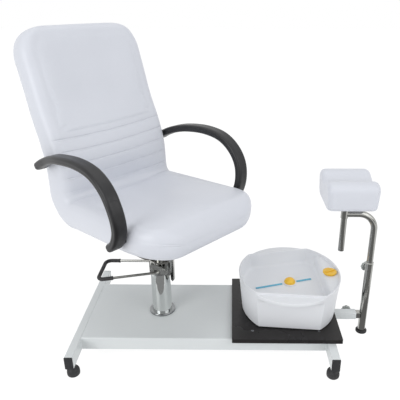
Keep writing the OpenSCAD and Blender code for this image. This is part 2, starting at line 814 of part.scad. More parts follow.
module arm_plates() {
    color([0.3, 0.3, 0.3])
    chair_frame() for (s = [-1, 1], q = [[-262, 721, 28], [132, 545, 44]])
        translate([q[0], s * (seat_half_w + 1.5 + (arm_plate_t - 1.5) / 2), q[1]])
            rotate([90, -q[2], 0]) linear_extrude(arm_plate_t - 1.5, center = true)
                round_rect(56, 22, 6);
}

// ---- leg rest
module extension_bar() {
    x0 = sleeve_x0 + 4;
    color([0.72, 0.73, 0.72])
    translate([x0, 0, sleeve_z]) rotate([90, 0, 90])
        linear_extrude(post_x - post_r - x0 + 1.2) difference() {
            round_rect(bar_w, bar_w, 1.5);
            square(bar_w - 5, center = true);
        }
}

module post_tube() {
    color([0.68, 0.69, 0.67])
    difference() {
        translate([post_x, 0, 12]) cylinder(r = post_r, h = post_top - 12);
        translate([post_x, 0, 50]) cylinder(r = post_bore, h = post_top);
        translate([post_x, 0, 0]) cylinder(r = 6.1, h = 40);
        translate([post_x, 0, knob_z]) rotate([-90, 0, 15]) cylinder(r = 4 + run_gap, h = 40);
        translate([post_x - post_r - 2, -bar_w / 2 - 0.1, sleeve_z - bar_w / 2 - 0.1])
            cube([3.3, bar_w + 0.2, bar_w + 0.2]);
    }
}

module post_foot() {
    r = post_foot_d / 2;
    color([0.14, 0.14, 0.15])
    translate([post_x, 0, 0]) {
        rotate_extrude() {
            square([r - 3, 12]);
            translate([0, 3]) square([r, 5]);
            translate([r - 3, 3]) circle(3);
            polygon([[0, 8 - eps], [r, 8 - eps], [post_r + 2, 12], [0, 12]]);
        }
        cylinder(r = 6, h = 34);
    }
}

module post_bush() {
    color([0.2, 0.2, 0.2])
    translate([post_x, 0, post_top - 18]) difference() {
        union() {
            cylinder(r = post_bore - 0.02, h = 18);
            translate([0, 0, 18]) cylinder(r = post_r, h = 2);
        }
        translate([0, 0, -1]) cylinder(r = mast_r + run_gap, h = 22);
    }
}

// fluted clamp knob on a screw, axis +Z, face of the boss at z = 0
module clamp_knob(screw) {
    color([0.62, 0.64, 0.63]) {
        translate([0, 0, 3]) difference() {
            union() {
                cylinder(r = knob_d / 2, h = 13);
                translate([0, 0, 13]) cylinder(r = knob_d / 2 - 6, h = 3);
            }
            for (a = [0:45:315]) rotate([0, 0, a]) translate([knob_d / 2 + 4.5, 0, -1])
                cylinder(r = 6.5, h = 16);
        }
        cylinder(r = 7, h = 3 + eps);
        translate([0, 0, -screw]) cylinder(r = 4, h = screw + eps);
    }
}

module extension_knob() {
    stand = sleeve_w / 2 + 5 + see_gap;
    translate([knob_x, stand, sleeve_z]) rotate([-90, 0, 0])
        clamp_knob(stand - bar_w / 2 - see_gap);
}

module height_knob() {
    stand = post_r + see_gap;
    translate([post_x, 0, knob_z]) rotate([-90, 0, 15]) translate([0, 0, stand])
        clamp_knob(stand - mast_r - see_gap);
}

mast_foot = 150;

module mast_plug() {
    color([0.9, 0.9, 0.88])
    translate([post_x, 0, mast_foot - 14]) {
        cylinder(r = post_bore - run_gap, h = 14 - see_gap);
        translate([0, 0, 0]) cylinder(r = mast_r - 2 - run_gap, h = 34);
    }
}

module mast_solid(r, from) {
    translate([post_x, 0, from]) cylinder(r = r, h = arm_z - mast_bend - from);
    translate([post_x - mast_bend, 0, arm_z - mast_bend]) rotate([90, 0, 0])
        rotate_extrude(angle = 90) translate([mast_bend, 0]) circle(r);
    translate([collar_x, 0, arm_z]) rotate([0, 90, 0])
        cylinder(r = r, h = mast_reach - mast_bend);
}

module mast_tube() {
    color([0.7, 0.71, 0.7])
    difference() {
        union() {
            mast_solid(mast_r, mast_foot);
            translate([collar_x, 0, arm_z - collar_h / 2]) cylinder(r = collar_r, h = collar_h);
        }
        translate([post_x, 0, mast_foot - 1]) cylinder(r = mast_r - 2, h = 300);
        translate([collar_x, 0, 0]) cylinder(r = stem_r + run_gap, h = 900);
        translate([collar_x, 0, arm_z - 8]) rotate([-90, 0, 0]) cylinder(r = 2.6, h = 40);
    }
}

module collar_screw() {
    color([0.55, 0.55, 0.55])
    translate([collar_x, stem_r + see_gap, arm_z - 8]) rotate([-90, 0, 0]) {
        cylinder(r = 2.5, h = 7);
        translate([0, 0, 4]) cylinder(r = 5, h = 5);
    }
}

module pad_stem() {
    low = arm_z - stem_drop;
    color([0.7, 0.71, 0.7])
    translate([collar_x, 0, low]) difference() {
        cylinder(r = stem_r, h = pad_z - 6 - low);
        translate([0, 0, -1]) cylinder(r = stem_r - 2, h = 21);
    }
}

module stem_plug() {
    low = arm_z - stem_drop;
    color([0.15, 0.15, 0.15])
    translate([collar_x, 0, low]) {
        cylinder(r = stem_r - 2 - run_gap, h = 18);
        translate([0, 0, -2]) cylinder(r = stem_r - 0.5, h = 2);
    }
}

module pad_screw_axes() {
    for (x = [-46, 46], y = [-52, 52]) translate([collar_x + x, y, 0]) children();
}

module pad_plate() {
    low = collar_top + see_gap;
    color([0.2, 0.2, 0.2])
    difference() {
        union() {
            translate([collar_x, 0, low]) cylinder(r = stem_r + 2.5, h = pad_z - low - 3 + eps);
            translate([collar_x, 0, pad_z - 3]) linear_extrude(3) round_rect(124, 140, 10);
        }
        translate([collar_x, 0, low - 1]) cylinder(r = stem_r + run_gap, h = pad_z - 4.5 - low);
        pad_screw_axes() translate([0, 0, pad_z - 5]) cylinder(r = 2.6, h = 8);
    }
}

module pad_screws() {
    color([0.6, 0.6, 0.6])
    pad_screw_axes() translate([0, 0, pad_z - 5.2]) {
        cylinder(r = 5, h = 2.2);
        cylinder(r = 2.4, h = 5);
    }
}

// saddle pad, rings across X from end to end
function pad_ring(x) = let (
    half = pad_len / 2, e = half - abs(x), k = e >= 20 ? 0 : 20 - sqrt(max(400 - pow(20 - e, 2), 0)),
    w = pad_w / 2 - k, r = 24)
    [for (a = [0:12:348]) let (
        y = w * sgn_pow(cos(a), 0.45), up = 0.5 + 0.5 * sgn_pow(sin(a), 0.5),
        top = pad_h - k - pad_trough * bump(y, 74) * up)
        [collar_x + 4 + x * (1 - 0.06 * up), y * (1 - 0.06 * up), pad_z + k * 0.6 + up * (top - k * 0.6)]];

module pad_cushion() {
    half = pad_len / 2;
    color([0.93, 0.94, 0.96])
    skin([for (x = concat([for (a = [84, 60, 36, 12]) -half + 20 * (1 - sin(a))],
        [-half + 34, -24, 24, half - 34],
        [for (a = [12, 36, 60, 84]) half - 20 * (1 - sin(a))])) pad_ring(x)]);
}

// ---- foot bath: an ellipse cut off straight on both long sides, with a
// crescent-shaped hand grip standing out under the rim of each straight side
grip_low = 39;
grip_high = 20;
grip_drop = 8;
chord_draft = 0.55;
function wall_inset(z) = tub_draft * (1 - z / tub_h);
function tub_angles(a0, a1) = concat(
    [for (k = [0:15]) mix(-a0, a0, k / 16)], [for (k = [0:7]) mix(a0, 180 - a1, k / 8)],
    [for (k = [0:15]) mix(180 - a1, 180 + a1, k / 16)],
    [for (k = [0:7]) mix(180 + a1, 360 - a0, k / 8)]);
// angle on the ellipse l, b where the line y = c + x tan(splay) meets it
function cut_angle(l, b, c, splay) = let (m = l * tan(splay), r = norm([b, m]))
    asin(c / r) + atan(m / b);
function tub_ring(z, thick, grip = false) = let (
    d = wall_inset(z), l = tub_len / 2 - d - thick, b = tub_over / 2 - d - thick,
    c = tub_w / 2 - d * chord_draft - thick,
    a0 = cut_angle(l, b, c, tub_splay), a1 = cut_angle(l, b, c, -tub_splay))
    [for (a = tub_angles(a0, a1)) let (x = l * cos(a), lim = c + x * tan(tub_splay))
        [x, grip ? b * sin(a) : min(max(b * sin(a), -lim), lim), z]];

module tub_place() {
    translate([tub_x, tub_y, tub_z]) rotate([0, 0, tub_turn]) children();
}

module tub_basin() {
    color([0.9, 0.9, 0.91])
    tub_place() skin(concat(
        [tub_ring(tub_floor - tub_wall, tub_wall + 24),
            tub_ring(tub_floor - tub_wall - 6, tub_wall + 6),
            tub_ring(0, tub_wall + 5), tub_ring(0, 3), tub_ring(4, 0.5),
            tub_ring(tub_h / 2, 0), tub_ring(tub_h - grip_low, 0),
            tub_ring(tub_h - grip_high, 0, true), tub_ring(tub_h - grip_drop, 0, true),
            tub_ring(tub_h - grip_drop + 0.6, 0), tub_ring(tub_h - 1, 1), tub_ring(tub_h, 3),
            tub_ring(tub_h - 1, tub_wall)],
        [for (z = [tub_h - 12, tub_h - 34, tub_floor + 8]) tub_ring(z, tub_wall + 1)],
        [tub_ring(tub_floor + 2, tub_wall + 9), tub_ring(tub_floor, tub_wall + 22)]));
}

module tub_base() {
    plate_h = 4;
    ins = tub_wall + 5 + see_gap;
    color([0.8, 0.8, 0.81])
    tub_place() linear_extrude(plate_h)
        polygon([for (p = tub_ring(0, ins)) [p[0], p[1]]]);
}

module tub_feet() {
    color([0.2, 0.2, 0.2])
    tub_place() for (x = [-110, 110], y = [-90, 90]) translate([x, y, -tub_foot_h])
        cylinder(r = 10, h = tub_foot_h);
}

strip_turn = 14;
dome_r = 21;
dome_at = [8, 19];
// each strip as [distance of its middle from the dome, length]
strips = [[-87, 112], [61, 66]];

module tub_strip() {
    color([0.45, 0.68, 0.75])
    tub_place() translate([dome_at[0], dome_at[1], tub_floor]) rotate([0, 0, strip_turn])
        for (q = strips) translate([q[0], 0, 0]) linear_extrude(3) round_rect(q[1], 7, 3);
}

module tub_dome() {
    color([0.92, 0.72, 0.28])
    tub_place() translate([dome_at[0], dome_at[1], tub_floor]) rotate_extrude() {
        square([dome_r + 3, 3]);
        intersection() {
            translate([0, -4]) circle(dome_r);
            translate([0, 2]) square([dome_r, dome_r]);
        }
    }
}

pod_x = 132;
pod_top = tub_h - 12;
dial_y = -4;

// the end of the basin beyond pod_x: an arc of its inner ellipse and a straight front
function pod_ring(z, ins) = let (
    d = wall_inset(z) + ins, l = tub_len / 2 - d, b = tub_over / 2 - d, a = acos(pod_x / l))
    [for (k = [0:14]) let (t = mix(-a, a, k / 14)) [l * cos(t), b * sin(t), z]];

module control_pod() {
    ins = tub_wall + 1.6;
    color([0.88, 0.88, 0.9])
    tub_place() skin([pod_ring(tub_floor + 9, ins), pod_ring(pod_top - 3, ins),
        pod_ring(pod_top, ins + 3)]);
}

module tub_dial() {
    color([0.93, 0.73, 0.27])
    tub_place() translate([pod_x + 26, dial_y, pod_top + see_gap]) difference() {
        union() {
            cylinder(r = dial_d / 2 - 4, h = 2);
            translate([0, 0, 2]) cylinder(r = dial_d / 2 - 2, h = 7);
            translate([-dial_d / 2 + 6, -3.5, 9 - eps]) cube([dial_d - 12, 7, 4]);
        }
        for (a = [0:30:330]) rotate([0, 0, a]) translate([dial_d / 2 - 1, 0, 1])
            cylinder(r = 2.2, h = 10, $fn = 16);
    }
}

placed() deck_tray();
placed() deck_ribs();
placed() cross_leg_rear();
placed() cross_leg_front();
placed() leg_end_caps();
placed() glide_feet();
placed() glide_studs();
placed() tub_board();
placed() board_screws();
placed() extension_sleeve();
placed() pump_plate();
placed() pump_bolts();
placed() pump_body();
placed() pump_shroud();
placed() trim_ring();
placed() pump_head();
placed() pivot_bolt();
placed() head_cover();
placed() cover_screws();
placed() lever_fork();
placed() lever_eyes();
placed() lever_grip();
placed() rocker_straps();
placed() cross_pin();
placed() pump_plunger();
placed() piston_tube();
placed() swivel_bearing();
placed() seat_plate();
placed() seat_bolts();
placed() seat_board();
placed() seat_cushion();
placed() back_cushion();
placed() armrest_left();
placed() armrest_right();
placed() arm_plates();
placed() extension_bar();
placed() post_tube();
placed() post_foot();
placed() post_bush();
placed() extension_knob();
placed() height_knob();
placed() mast_plug();
placed() mast_tube();
placed() collar_screw();
placed() pad_stem();
placed() stem_plug();
placed() pad_plate();
placed() pad_screws();
placed() pad_cushion();
placed() tub_basin();
placed() tub_base();
placed() tub_feet();
placed() tub_strip();
placed() tub_dome();
placed() control_pod();
placed() tub_dial();
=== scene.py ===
"""Looks of the pedicure spa chair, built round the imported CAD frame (metres, row frame)."""

import json
import math

import bmesh
import bpy
import numpy as np
from mathutils import Matrix, Vector
from mathutils.bvhtree import BVHTree


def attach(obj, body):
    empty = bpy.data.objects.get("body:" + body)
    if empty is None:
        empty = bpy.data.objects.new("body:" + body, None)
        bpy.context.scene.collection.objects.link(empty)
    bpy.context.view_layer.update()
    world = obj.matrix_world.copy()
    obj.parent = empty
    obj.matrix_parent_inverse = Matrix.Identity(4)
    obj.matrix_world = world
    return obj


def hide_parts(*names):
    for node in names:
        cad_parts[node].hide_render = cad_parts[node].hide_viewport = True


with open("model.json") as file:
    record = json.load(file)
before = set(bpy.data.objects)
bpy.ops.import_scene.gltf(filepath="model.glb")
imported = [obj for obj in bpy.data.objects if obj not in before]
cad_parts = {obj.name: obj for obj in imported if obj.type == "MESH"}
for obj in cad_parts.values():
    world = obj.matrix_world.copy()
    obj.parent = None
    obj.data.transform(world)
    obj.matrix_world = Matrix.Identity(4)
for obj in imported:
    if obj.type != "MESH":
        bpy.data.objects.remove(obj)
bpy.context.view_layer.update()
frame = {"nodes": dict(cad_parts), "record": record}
cad = frame["nodes"]
MM = 0.001

# ---- sizes in millimetres about the pump's axis, close to those of the CAD source
ORIGIN = (292.0, 258.0, 0.0)  # pump's axis in the row frame
CHAIR_TURN = 42.0
SEAT_Z, SEAT_PITCH, HALF_W, SEAT_T = 482.0, 3.0, 248.0, 117.0
SEAT_FRONT, CREASE_X, BACK_T, BACK_LEN = 312.0, 194.0, 101.0, 592.0
BACK_CORNER, SEAT_CORNER, SEAT_NOSE, SEAT_RISE = 106.0, 118.0, 60.0, 46.0
BEND_R, CHANNEL_0, CHANNEL_PITCH, CHANNELS, CREASE_DIP = 14.0, 26.0, 46.0, 5, 15.0
SHOW_ROLL, UNDER_ROLL, CLOTH_ROOM = 38.0, 30.0, 5.0
SEAM_END, SEAM_LOW, SEAM_TILT, SEAM_SAG, CREASE_ANGLE = 228.0, 11.0, 6.0, 9.0, 60.0
SEAM_FRONT, SEAM_BEHIND = 44.0, 40.0  # how far from the show face a seam still pulls
SEAM_PULLS = ((1.0, 10.0), (2.1, 2.0))  # (depth, half width): a wide dip, then the stitched line
ARM_Y, ARM_W, ARM_T, ARM_BOW = 275.0, 48.5, 30.0, 8.0
ARM_LINE = [(-286, 708), (-246, 730), (-188, 753), (-118, 769), (-20, 777), (66, 765),
            (126, 727), (159, 672), (165, 610), (146, 558), (114, 530)]
ARM_RUN, ARM_END, ARM_CREASE = 620.0, 16.0, 0.652  # length, rounded end, place of the crease
PIVOT, LEVER_SLOPE, LEVER_START = (27.0, 297.0), 4.0, 24.0
LEVER_LEN, LEVER_SPREAD, ROD_R, GRIP_R, ROD_BEND, ROD_Y = 253.0, 72.0, 5.0, 8.0, 20.0, 42.7
COLLAR_X, PAD_Z, PAD_LEN, PAD_W, PAD_H = 687.0, 567.0, 182.0, 211.0, 105.0
PAD_TROUGH, TROUGH_W, PAD_ROLL = 24.0, 70.0, 20.0
TUB_X, TUB_Y, TUB_Z, TUB_TURN, TUB_SPLAY = 499.0, 12.0, 118.0, 3.5, 8.5
TUB_LEN, TUB_W, TUB_OVER, TUB_H = 390.0, 329.0, 424.0, 154.0
TUB_DRAFT, TUB_WALL, TUB_FLOOR, CHORD_DRAFT = 14.0, 5.0, 88.0, 0.55
POD_X, POD_TOP, POD_GAP, DIAL_R, DIAL_Y = 132.0, 142.0, -0.2, 28.5, -4.0
DOME_AT, DOME_R, DOME_H = (8.0, 19.0), 22.4, 19.5
STRIP_TURN, STRIP_HALF, STRIPS = 14.0, 4.6, ((-87.0, 112.0), (61.0, 66.0))  # (middle, length)
POST_X, POST_R, KNOB_Z = 801.0, 15.0, 288.0
SLEEVE_KNOB_X, SLEEVE_Z, SLEEVE_W, KNOB_R = 740.0, 82.0, 30.0, 18.5
GLIDE_X, GLIDE_Y = (-292.0, 638.0), 258.0


# ---- mesh helpers
def smoothstep(a, b, x):
    """0 below a, 1 above b, with a soft rise between them."""
    t = np.clip((np.asarray(x, float) - a) / (b - a), 0, 1)
    return t * t * (3 - 2 * t)


def bump(d, w):
    """Cosine hill of height 1 that ends at distance w."""
    d = np.abs(np.asarray(d, float))
    return np.where(d >= w, 0.0, 0.5 + 0.5 * np.cos(np.pi * np.minimum(d / w, 1)))


def power(v, e):
    """Signed power: it squares off the cosine and sine of a ring."""
    return np.sign(v) * np.abs(v) ** e


def catmull(points, u):
    """Point at u, from 0 to 1, of a smooth curve through points."""
    p = np.asarray(points, float)
    n = len(p) - 1
    s = min(max(u, 0.0) * n, n - 1e-4)
    i = int(s)
    t = s - i
    a, b, c, d = p[max(i - 1, 0)], p[i], p[i + 1], p[min(i + 2, n)]
    return 0.5 * (2 * b + (c - a) * t + (2 * a - 5 * b + 4 * c - d) * t * t
                  + (3 * b - a - 3 * c + d) * t ** 3)


def add_object(name, verts_mm, faces):
    mesh = bpy.data.meshes.new(name)
    mesh.from_pydata([tuple(v) for v in np.asarray(verts_mm, float) * MM], [], faces)
    mesh.validate()
    mesh.polygons.foreach_set("use_smooth", [True] * len(mesh.polygons))
    obj = bpy.data.objects.new(name, mesh)
    bpy.context.scene.collection.objects.link(obj)
    return obj


def loft(rings):
    """Vertices and faces of a closed skin over rings of equally many points, in mm."""
    m, n = len(rings), len(rings[0])
    verts = [p for r in rings for p in r]
    faces = []
    for i in range(m - 1):
        k = i + 1
        faces += [(i * n + j, i * n + (j + 1) % n, k * n + (j + 1) % n, k * n + j)
                  for j in range(n)]
    for ring, first, turn in ((rings[0], 0, True), (rings[-1], (m - 1) * n, False)):
        verts.append(np.mean(np.asarray(ring), axis=0))
        mid = len(verts) - 1
        for j in range(n):
            a, b = first + j, first + (j + 1) % n
            faces.append((b, a, mid) if turn else (a, b, mid))
    return np.array(verts, float), faces


def outward(obj):
    """Merges double points and turns every face outward."""
    bm = bmesh.new()
    bm.from_mesh(obj.data)
    bmesh.ops.remove_doubles(bm, verts=bm.verts, dist=1e-6)
    bmesh.ops.recalc_face_normals(bm, faces=bm.faces)
    bm.to_mesh(obj.data)
    bm.free()
    return obj


def tube(name, path, radius, sides):
    """Round sweep along points in mm; radius is a number or one for each point."""
    p = np.asarray(path, float)
    r = np.full(len(p), radius, float) if np.isscalar(radius) else np.asarray(radius, float)
    d = np.gradient(p, axis=0)
    d /= np.linalg.norm(d, axis=1)[:, None]
    u = np.cross(d[0], (0, 0, 1) if abs(d[0][2]) < 0.9 else (1, 0, 0))
    rings = []
    for i in range(len(p)):
        u = u - d[i] * (u @ d[i])
        u /= np.linalg.norm(u)
        v = np.cross(d[i], u)
        a = np.linspace(0, 2 * np.pi, sides, endpoint=False)[:, None]
        rings.append(p[i] + r[i] * (np.cos(a) * u + np.sin(a) * v))
    verts, faces = loft(rings)
    return outward(add_object(name, verts, faces))


def lathe(name, profile, place, sides=64, shape=None):
    """Turns (radius, height) pairs in mm round +Z; shape(angle, radius, height) may flute it."""
    rings = []
    for r, z in profile:
        a = np.linspace(0, 2 * np.pi, sides, endpoint=False)
        rr = np.full(sides, r) if shape is None else shape(a, r, z)
        rings.append(np.stack([rr * np.cos(a), rr * np.sin(a), np.full(sides, z)], 1))
    verts, faces = loft(rings)
    obj = add_object(name, verts, faces)
    obj.data.transform(place)
    return outward(obj)


def spot(x, y, z, turn=None):
    """Matrix that carries a mesh in metres to a point in mm, with a turn before it."""
    return Matrix.Translation(Vector((x, y, z)) * MM) @ (turn or Matrix.Identity(4))


def sharpen(obj, degrees):
    """Smooth shading that keeps edges steeper than the angle crisp."""
    bm = bmesh.new()
    bm.from_mesh(obj.data)
    for e in bm.edges:
        e.smooth = len(e.link_faces) == 2 and e.calc_face_angle(0) < math.radians(degrees)
    bm.to_mesh(obj.data)
    bm.free()
    return obj


def subdivided(obj):
    mod = obj.modifiers.new("smooth", "SUBSURF")
    mod.levels = mod.render_levels = 1
    return obj


def joined(parts, name):
    bpy.ops.object.select_all(action="DESELECT")
    for part in parts:
        part.select_set(True)
    bpy.context.view_layer.objects.active = parts[0]
    bpy.ops.object.join()
    parts[0].name = name
    return parts[0]


# ---- materials: every finish is made of nodes in object space, in metres
def link(nt, a, b):
    nt.links.new(a, b)


def surface(name, a, b, rough, metal=0.0, coat=0.0, coat_rough=0.2, sheen=0.0, ior=1.45,
            blotch=5.0, rough_var=0.05, grain=None, fine=None, stretch=(1, 1, 1), edge_highlight=None):
    """a drifts to b in blotches per metre; grain and fine are (per metre, height in mm);
    the last argument is a lighter colour painted on sharp convex edges, a painted highlight."""
    mat = bpy.data.materials.new(name)
    mat.use_nodes = True
    nt = mat.node_tree
    shader = nt.nodes["Principled BSDF"]
    for key, value in (("Metallic", metal), ("Coat Weight", coat), ("Coat Roughness", coat_rough),
                       ("Sheen Weight", sheen), ("IOR", ior)):
        shader.inputs[key].default_value = value
    coord = nt.nodes.new("ShaderNodeTexCoord")
    mapping = nt.nodes.new("ShaderNodeMapping")
    mapping.inputs["Scale"].default_value = stretch
    link(nt, coord.outputs["Object"], mapping.inputs["Vector"])
    cloud = nt.nodes.new("ShaderNodeTexNoise")
    cloud.inputs["Scale"].default_value = blotch
    cloud.inputs["Detail"].default_value = 5
    link(nt, mapping.outputs["Vector"], cloud.inputs["Vector"])
    ramp = nt.nodes.new("ShaderNodeValToRGB")
    ramp.color_ramp.elements[0].position, ramp.color_ramp.elements[1].position = 0.35, 0.68
    ramp.color_ramp.elements[0].color = (*a, 1)
    ramp.color_ramp.elements[1].color = (*b, 1)
    link(nt, cloud.outputs["Fac"], ramp.inputs["Fac"])
    colour = ramp.outputs["Color"]
    # painted highlight: sharp convex edges (high pointiness) are mixed towards the lighter edge
    # colour
    if edge_highlight:
        geo = nt.nodes.new("ShaderNodeNewGeometry")
        edge = nt.nodes.new("ShaderNodeMapRange")
        edge.inputs["From Min"].default_value, edge.inputs["From Max"].default_value = 0.53, 0.62
        edge.inputs["To Max"].default_value = 0.5
        link(nt, geo.outputs["Pointiness"], edge.inputs["Value"])
        mix = nt.nodes.new("ShaderNodeMix")
        mix.data_type = "RGBA"
        link(nt, edge.outputs["Result"], mix.inputs["Factor"])
        link(nt, colour, mix.inputs["A"])
        mix.inputs["B"].default_value = (*edge_highlight, 1)
        colour = mix.outputs["Result"]
    link(nt, colour, shader.inputs["Base Color"])
    spread = nt.nodes.new("ShaderNodeMapRange")
    spread.inputs["From Min"].default_value, spread.inputs["From Max"].default_value = 0.3, 0.7
    spread.inputs["To Min"].default_value = max(rough - rough_var, 0.02)
    spread.inputs["To Max"].default_value = rough + rough_var
    link(nt, cloud.outputs["Fac"], spread.inputs["Value"])
    link(nt, spread.outputs["Result"], shader.inputs["Roughness"])
    normal = None
    for kind, spec in (("VORONOI", grain), ("NOISE", fine)):
        if not spec:
            continue
        if kind == "VORONOI":
            tex = nt.nodes.new("ShaderNodeTexVoronoi")
            tex.feature = "SMOOTH_F1"
            height = tex.outputs["Distance"]
        else:
            tex = nt.nodes.new("ShaderNodeTexNoise")
            tex.inputs["Detail"].default_value = 3
            height = tex.outputs["Fac"]
        tex.inputs["Scale"].default_value = spec[0]
        link(nt, mapping.outputs["Vector"], tex.inputs["Vector"])
        node = nt.nodes.new("ShaderNodeBump")
        node.inputs["Strength"].default_value = 1.0
        node.inputs["Distance"].default_value = spec[1] * MM
        link(nt, height, node.inputs["Height"])
        if normal:
            link(nt, normal, node.inputs["Normal"])
        normal = node.outputs["Normal"]
    if normal:
        link(nt, normal, shader.inputs["Normal"])
    return mat


vinyl = surface("white_vinyl", (0.71, 0.73, 0.785), (0.695, 0.715, 0.77), 0.44, coat=0.2,
                coat_rough=0.3, sheen=0.03, blotch=3, grain=(900, 0.035), fine=(2000, 0.01))
thread = surface("white_thread", (0.62, 0.63, 0.68), (0.58, 0.59, 0.64), 0.7, fine=(4000, 0.05),
                 blotch=400)
# white paint, with a painted highlight in a lighter colour on its sharp edges
paint = surface("white_paint", (0.725, 0.77, 0.77), (0.705, 0.745, 0.75), 0.36, coat=0.15,
                coat_rough=0.25, blotch=4, fine=(420, 0.02), edge_highlight=(0.80, 0.82, 0.82))
arm_black = surface("black_arm_foam", (0.014, 0.014, 0.015), (0.022, 0.022, 0.024), 0.36,
                    ior=1.42, blotch=9, grain=(1300, 0.04), fine=(600, 0.03))
plastic_black = surface("black_cap_plastic", (0.030, 0.031, 0.034), (0.042, 0.043, 0.046), 0.48,
                        blotch=30, fine=(1500, 0.04))
rubber = surface("black_rubber", (0.028, 0.028, 0.030), (0.040, 0.040, 0.042), 0.62,
                 blotch=40, fine=(1100, 0.06))
laminate = surface("black_laminate", (0.011, 0.010, 0.011), (0.021, 0.019, 0.018), 0.26, ior=1.34,
                   blotch=3.5, rough_var=0.08, grain=(700, 0.03), fine=(1800, 0.03))
chrome = surface("chrome", (0.76, 0.775, 0.765), (0.68, 0.695, 0.685), 0.09, metal=1.0, blotch=8,
                 rough_var=0.04, fine=(900, 0.004), stretch=(1, 1, 0.2))
# painted shade: a darker copy of the chrome above, its low colour standing in for the dark
# surroundings the tubes reflect
tube_chrome_painted_shade = surface("tube_chrome_painted_shade", (0.42, 0.42, 0.40), (0.33, 0.33, 0.315), 0.13, metal=1.0,
                      blotch=10, rough_var=0.06, fine=(1400, 0.006), stretch=(1, 1, 0.15))
# painted shade: a still darker copy of the chrome, standing in for the shaded sides of the trim
# ring
ring_chrome_painted_shade = surface("ring_chrome_painted_shade", (0.32, 0.33, 0.335), (0.25, 0.26, 0.265), 0.10, metal=1.0,
                      blotch=30, fine=(900, 0.004))
zinc = surface("zinc_steel", (0.50, 0.51, 0.50), (0.42, 0.43, 0.42), 0.32, metal=1.0, blotch=60,
               rough_var=0.1, fine=(1500, 0.02))
cast = surface("cast_head", (0.40, 0.41, 0.41), (0.31, 0.32, 0.32), 0.26, metal=1.0, blotch=40,
               rough_var=0.1, fine=(700, 0.05))
steel_black = surface("black_steel", (0.035, 0.035, 0.037), (0.05, 0.05, 0.052), 0.42, blotch=20,
                      fine=(900, 0.03))
nylon = surface("nylon", (0.62, 0.62, 0.58), (0.56, 0.56, 0.52), 0.5, blotch=40, fine=(1200, 0.02))
# grey knob, with a painted highlight in a lighter colour on its sharp edges
knob_grey = surface("grey_knob", (0.42, 0.44, 0.43), (0.34, 0.36, 0.35), 0.34, metal=0.6,
                    blotch=60, rough_var=0.08, fine=(1600, 0.03), edge_highlight=(0.6, 0.6, 0.6))
tub_white = surface("white_abs", (0.83, 0.845, 0.87), (0.81, 0.825, 0.85), 0.36, coat=0.1,
                    coat_rough=0.3, blotch=4, fine=(500, 0.012))
tub_yellow = surface("yellow_abs", (0.93, 0.57, 0.05), (0.88, 0.52, 0.04), 0.34, coat=0.1,
                     coat_rough=0.15, blotch=40, fine=(900, 0.02))
tub_blue = surface("blue_abs", (0.13, 0.48, 0.66), (0.11, 0.44, 0.61), 0.34, coat=0.15,
                   blotch=30, fine=(900, 0.02))
plywood = surface("plywood", (0.085, 0.075, 0.068), (0.06, 0.054, 0.05), 0.66, blotch=14,
                  stretch=(1, 6, 30), fine=(300, 0.05))

FINISH = {
    "white_steel": paint, "black_plastic": plastic_black, "black_rubber": rubber,
    "zinc_steel": zinc, "chrome_tube": tube_chrome_painted_shade, "cast_head": cast, "black_board": laminate,
    "white_vinyl": vinyl, "plywood": plywood, "black_arm": arm_black, "black_steel": steel_black,
    "nylon": nylon, "grey_knob": knob_grey, "tub_white": tub_white, "tub_yellow": tub_yellow,
    "tub_blue": tub_blue,
}
for part in frame["record"]["subparts"]:
    node = cad[part["node"]]
    node.data.materials.clear()
    node.data.materials.append(FINISH[part["material_slot"]])
cad["pump_shroud"].data.materials[0] = chrome
# the trim ring and board screws take the darker chrome copy with painted shade
cad["trim_ring"].data.materials[0] = ring_chrome_painted_shade
cad["board_screws"].data.materials[0] = ring_chrome_painted_shade


def dress(obj, material, body, slot, *stands_for):
    """Carries obj from the pump's axis to the row frame and gives it material and body; slot is not
    used.
    """
    obj.data.transform(Matrix.Translation(Vector(ORIGIN) * MM))
    obj.data.materials.clear()
    obj.data.materials.append(material)
    if stands_for:
        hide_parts(*stands_for)
    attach(obj, body)
    return obj


# ---- soft forms: pressure in a cloth skin, with capped moves
CLOTH_PRESSURE, CLOTH_FRAMES = 4.0, 20


def evaluated_mesh(obj):
    graph = bpy.context.evaluated_depsgraph_get()
    return bpy.data.meshes.new_from_object(obj.evaluated_get(graph))


def coords(mesh):
    co = np.zeros(len(mesh.vertices) * 3)
    mesh.vertices.foreach_get("co", co)
    return co.reshape(-1, 3)


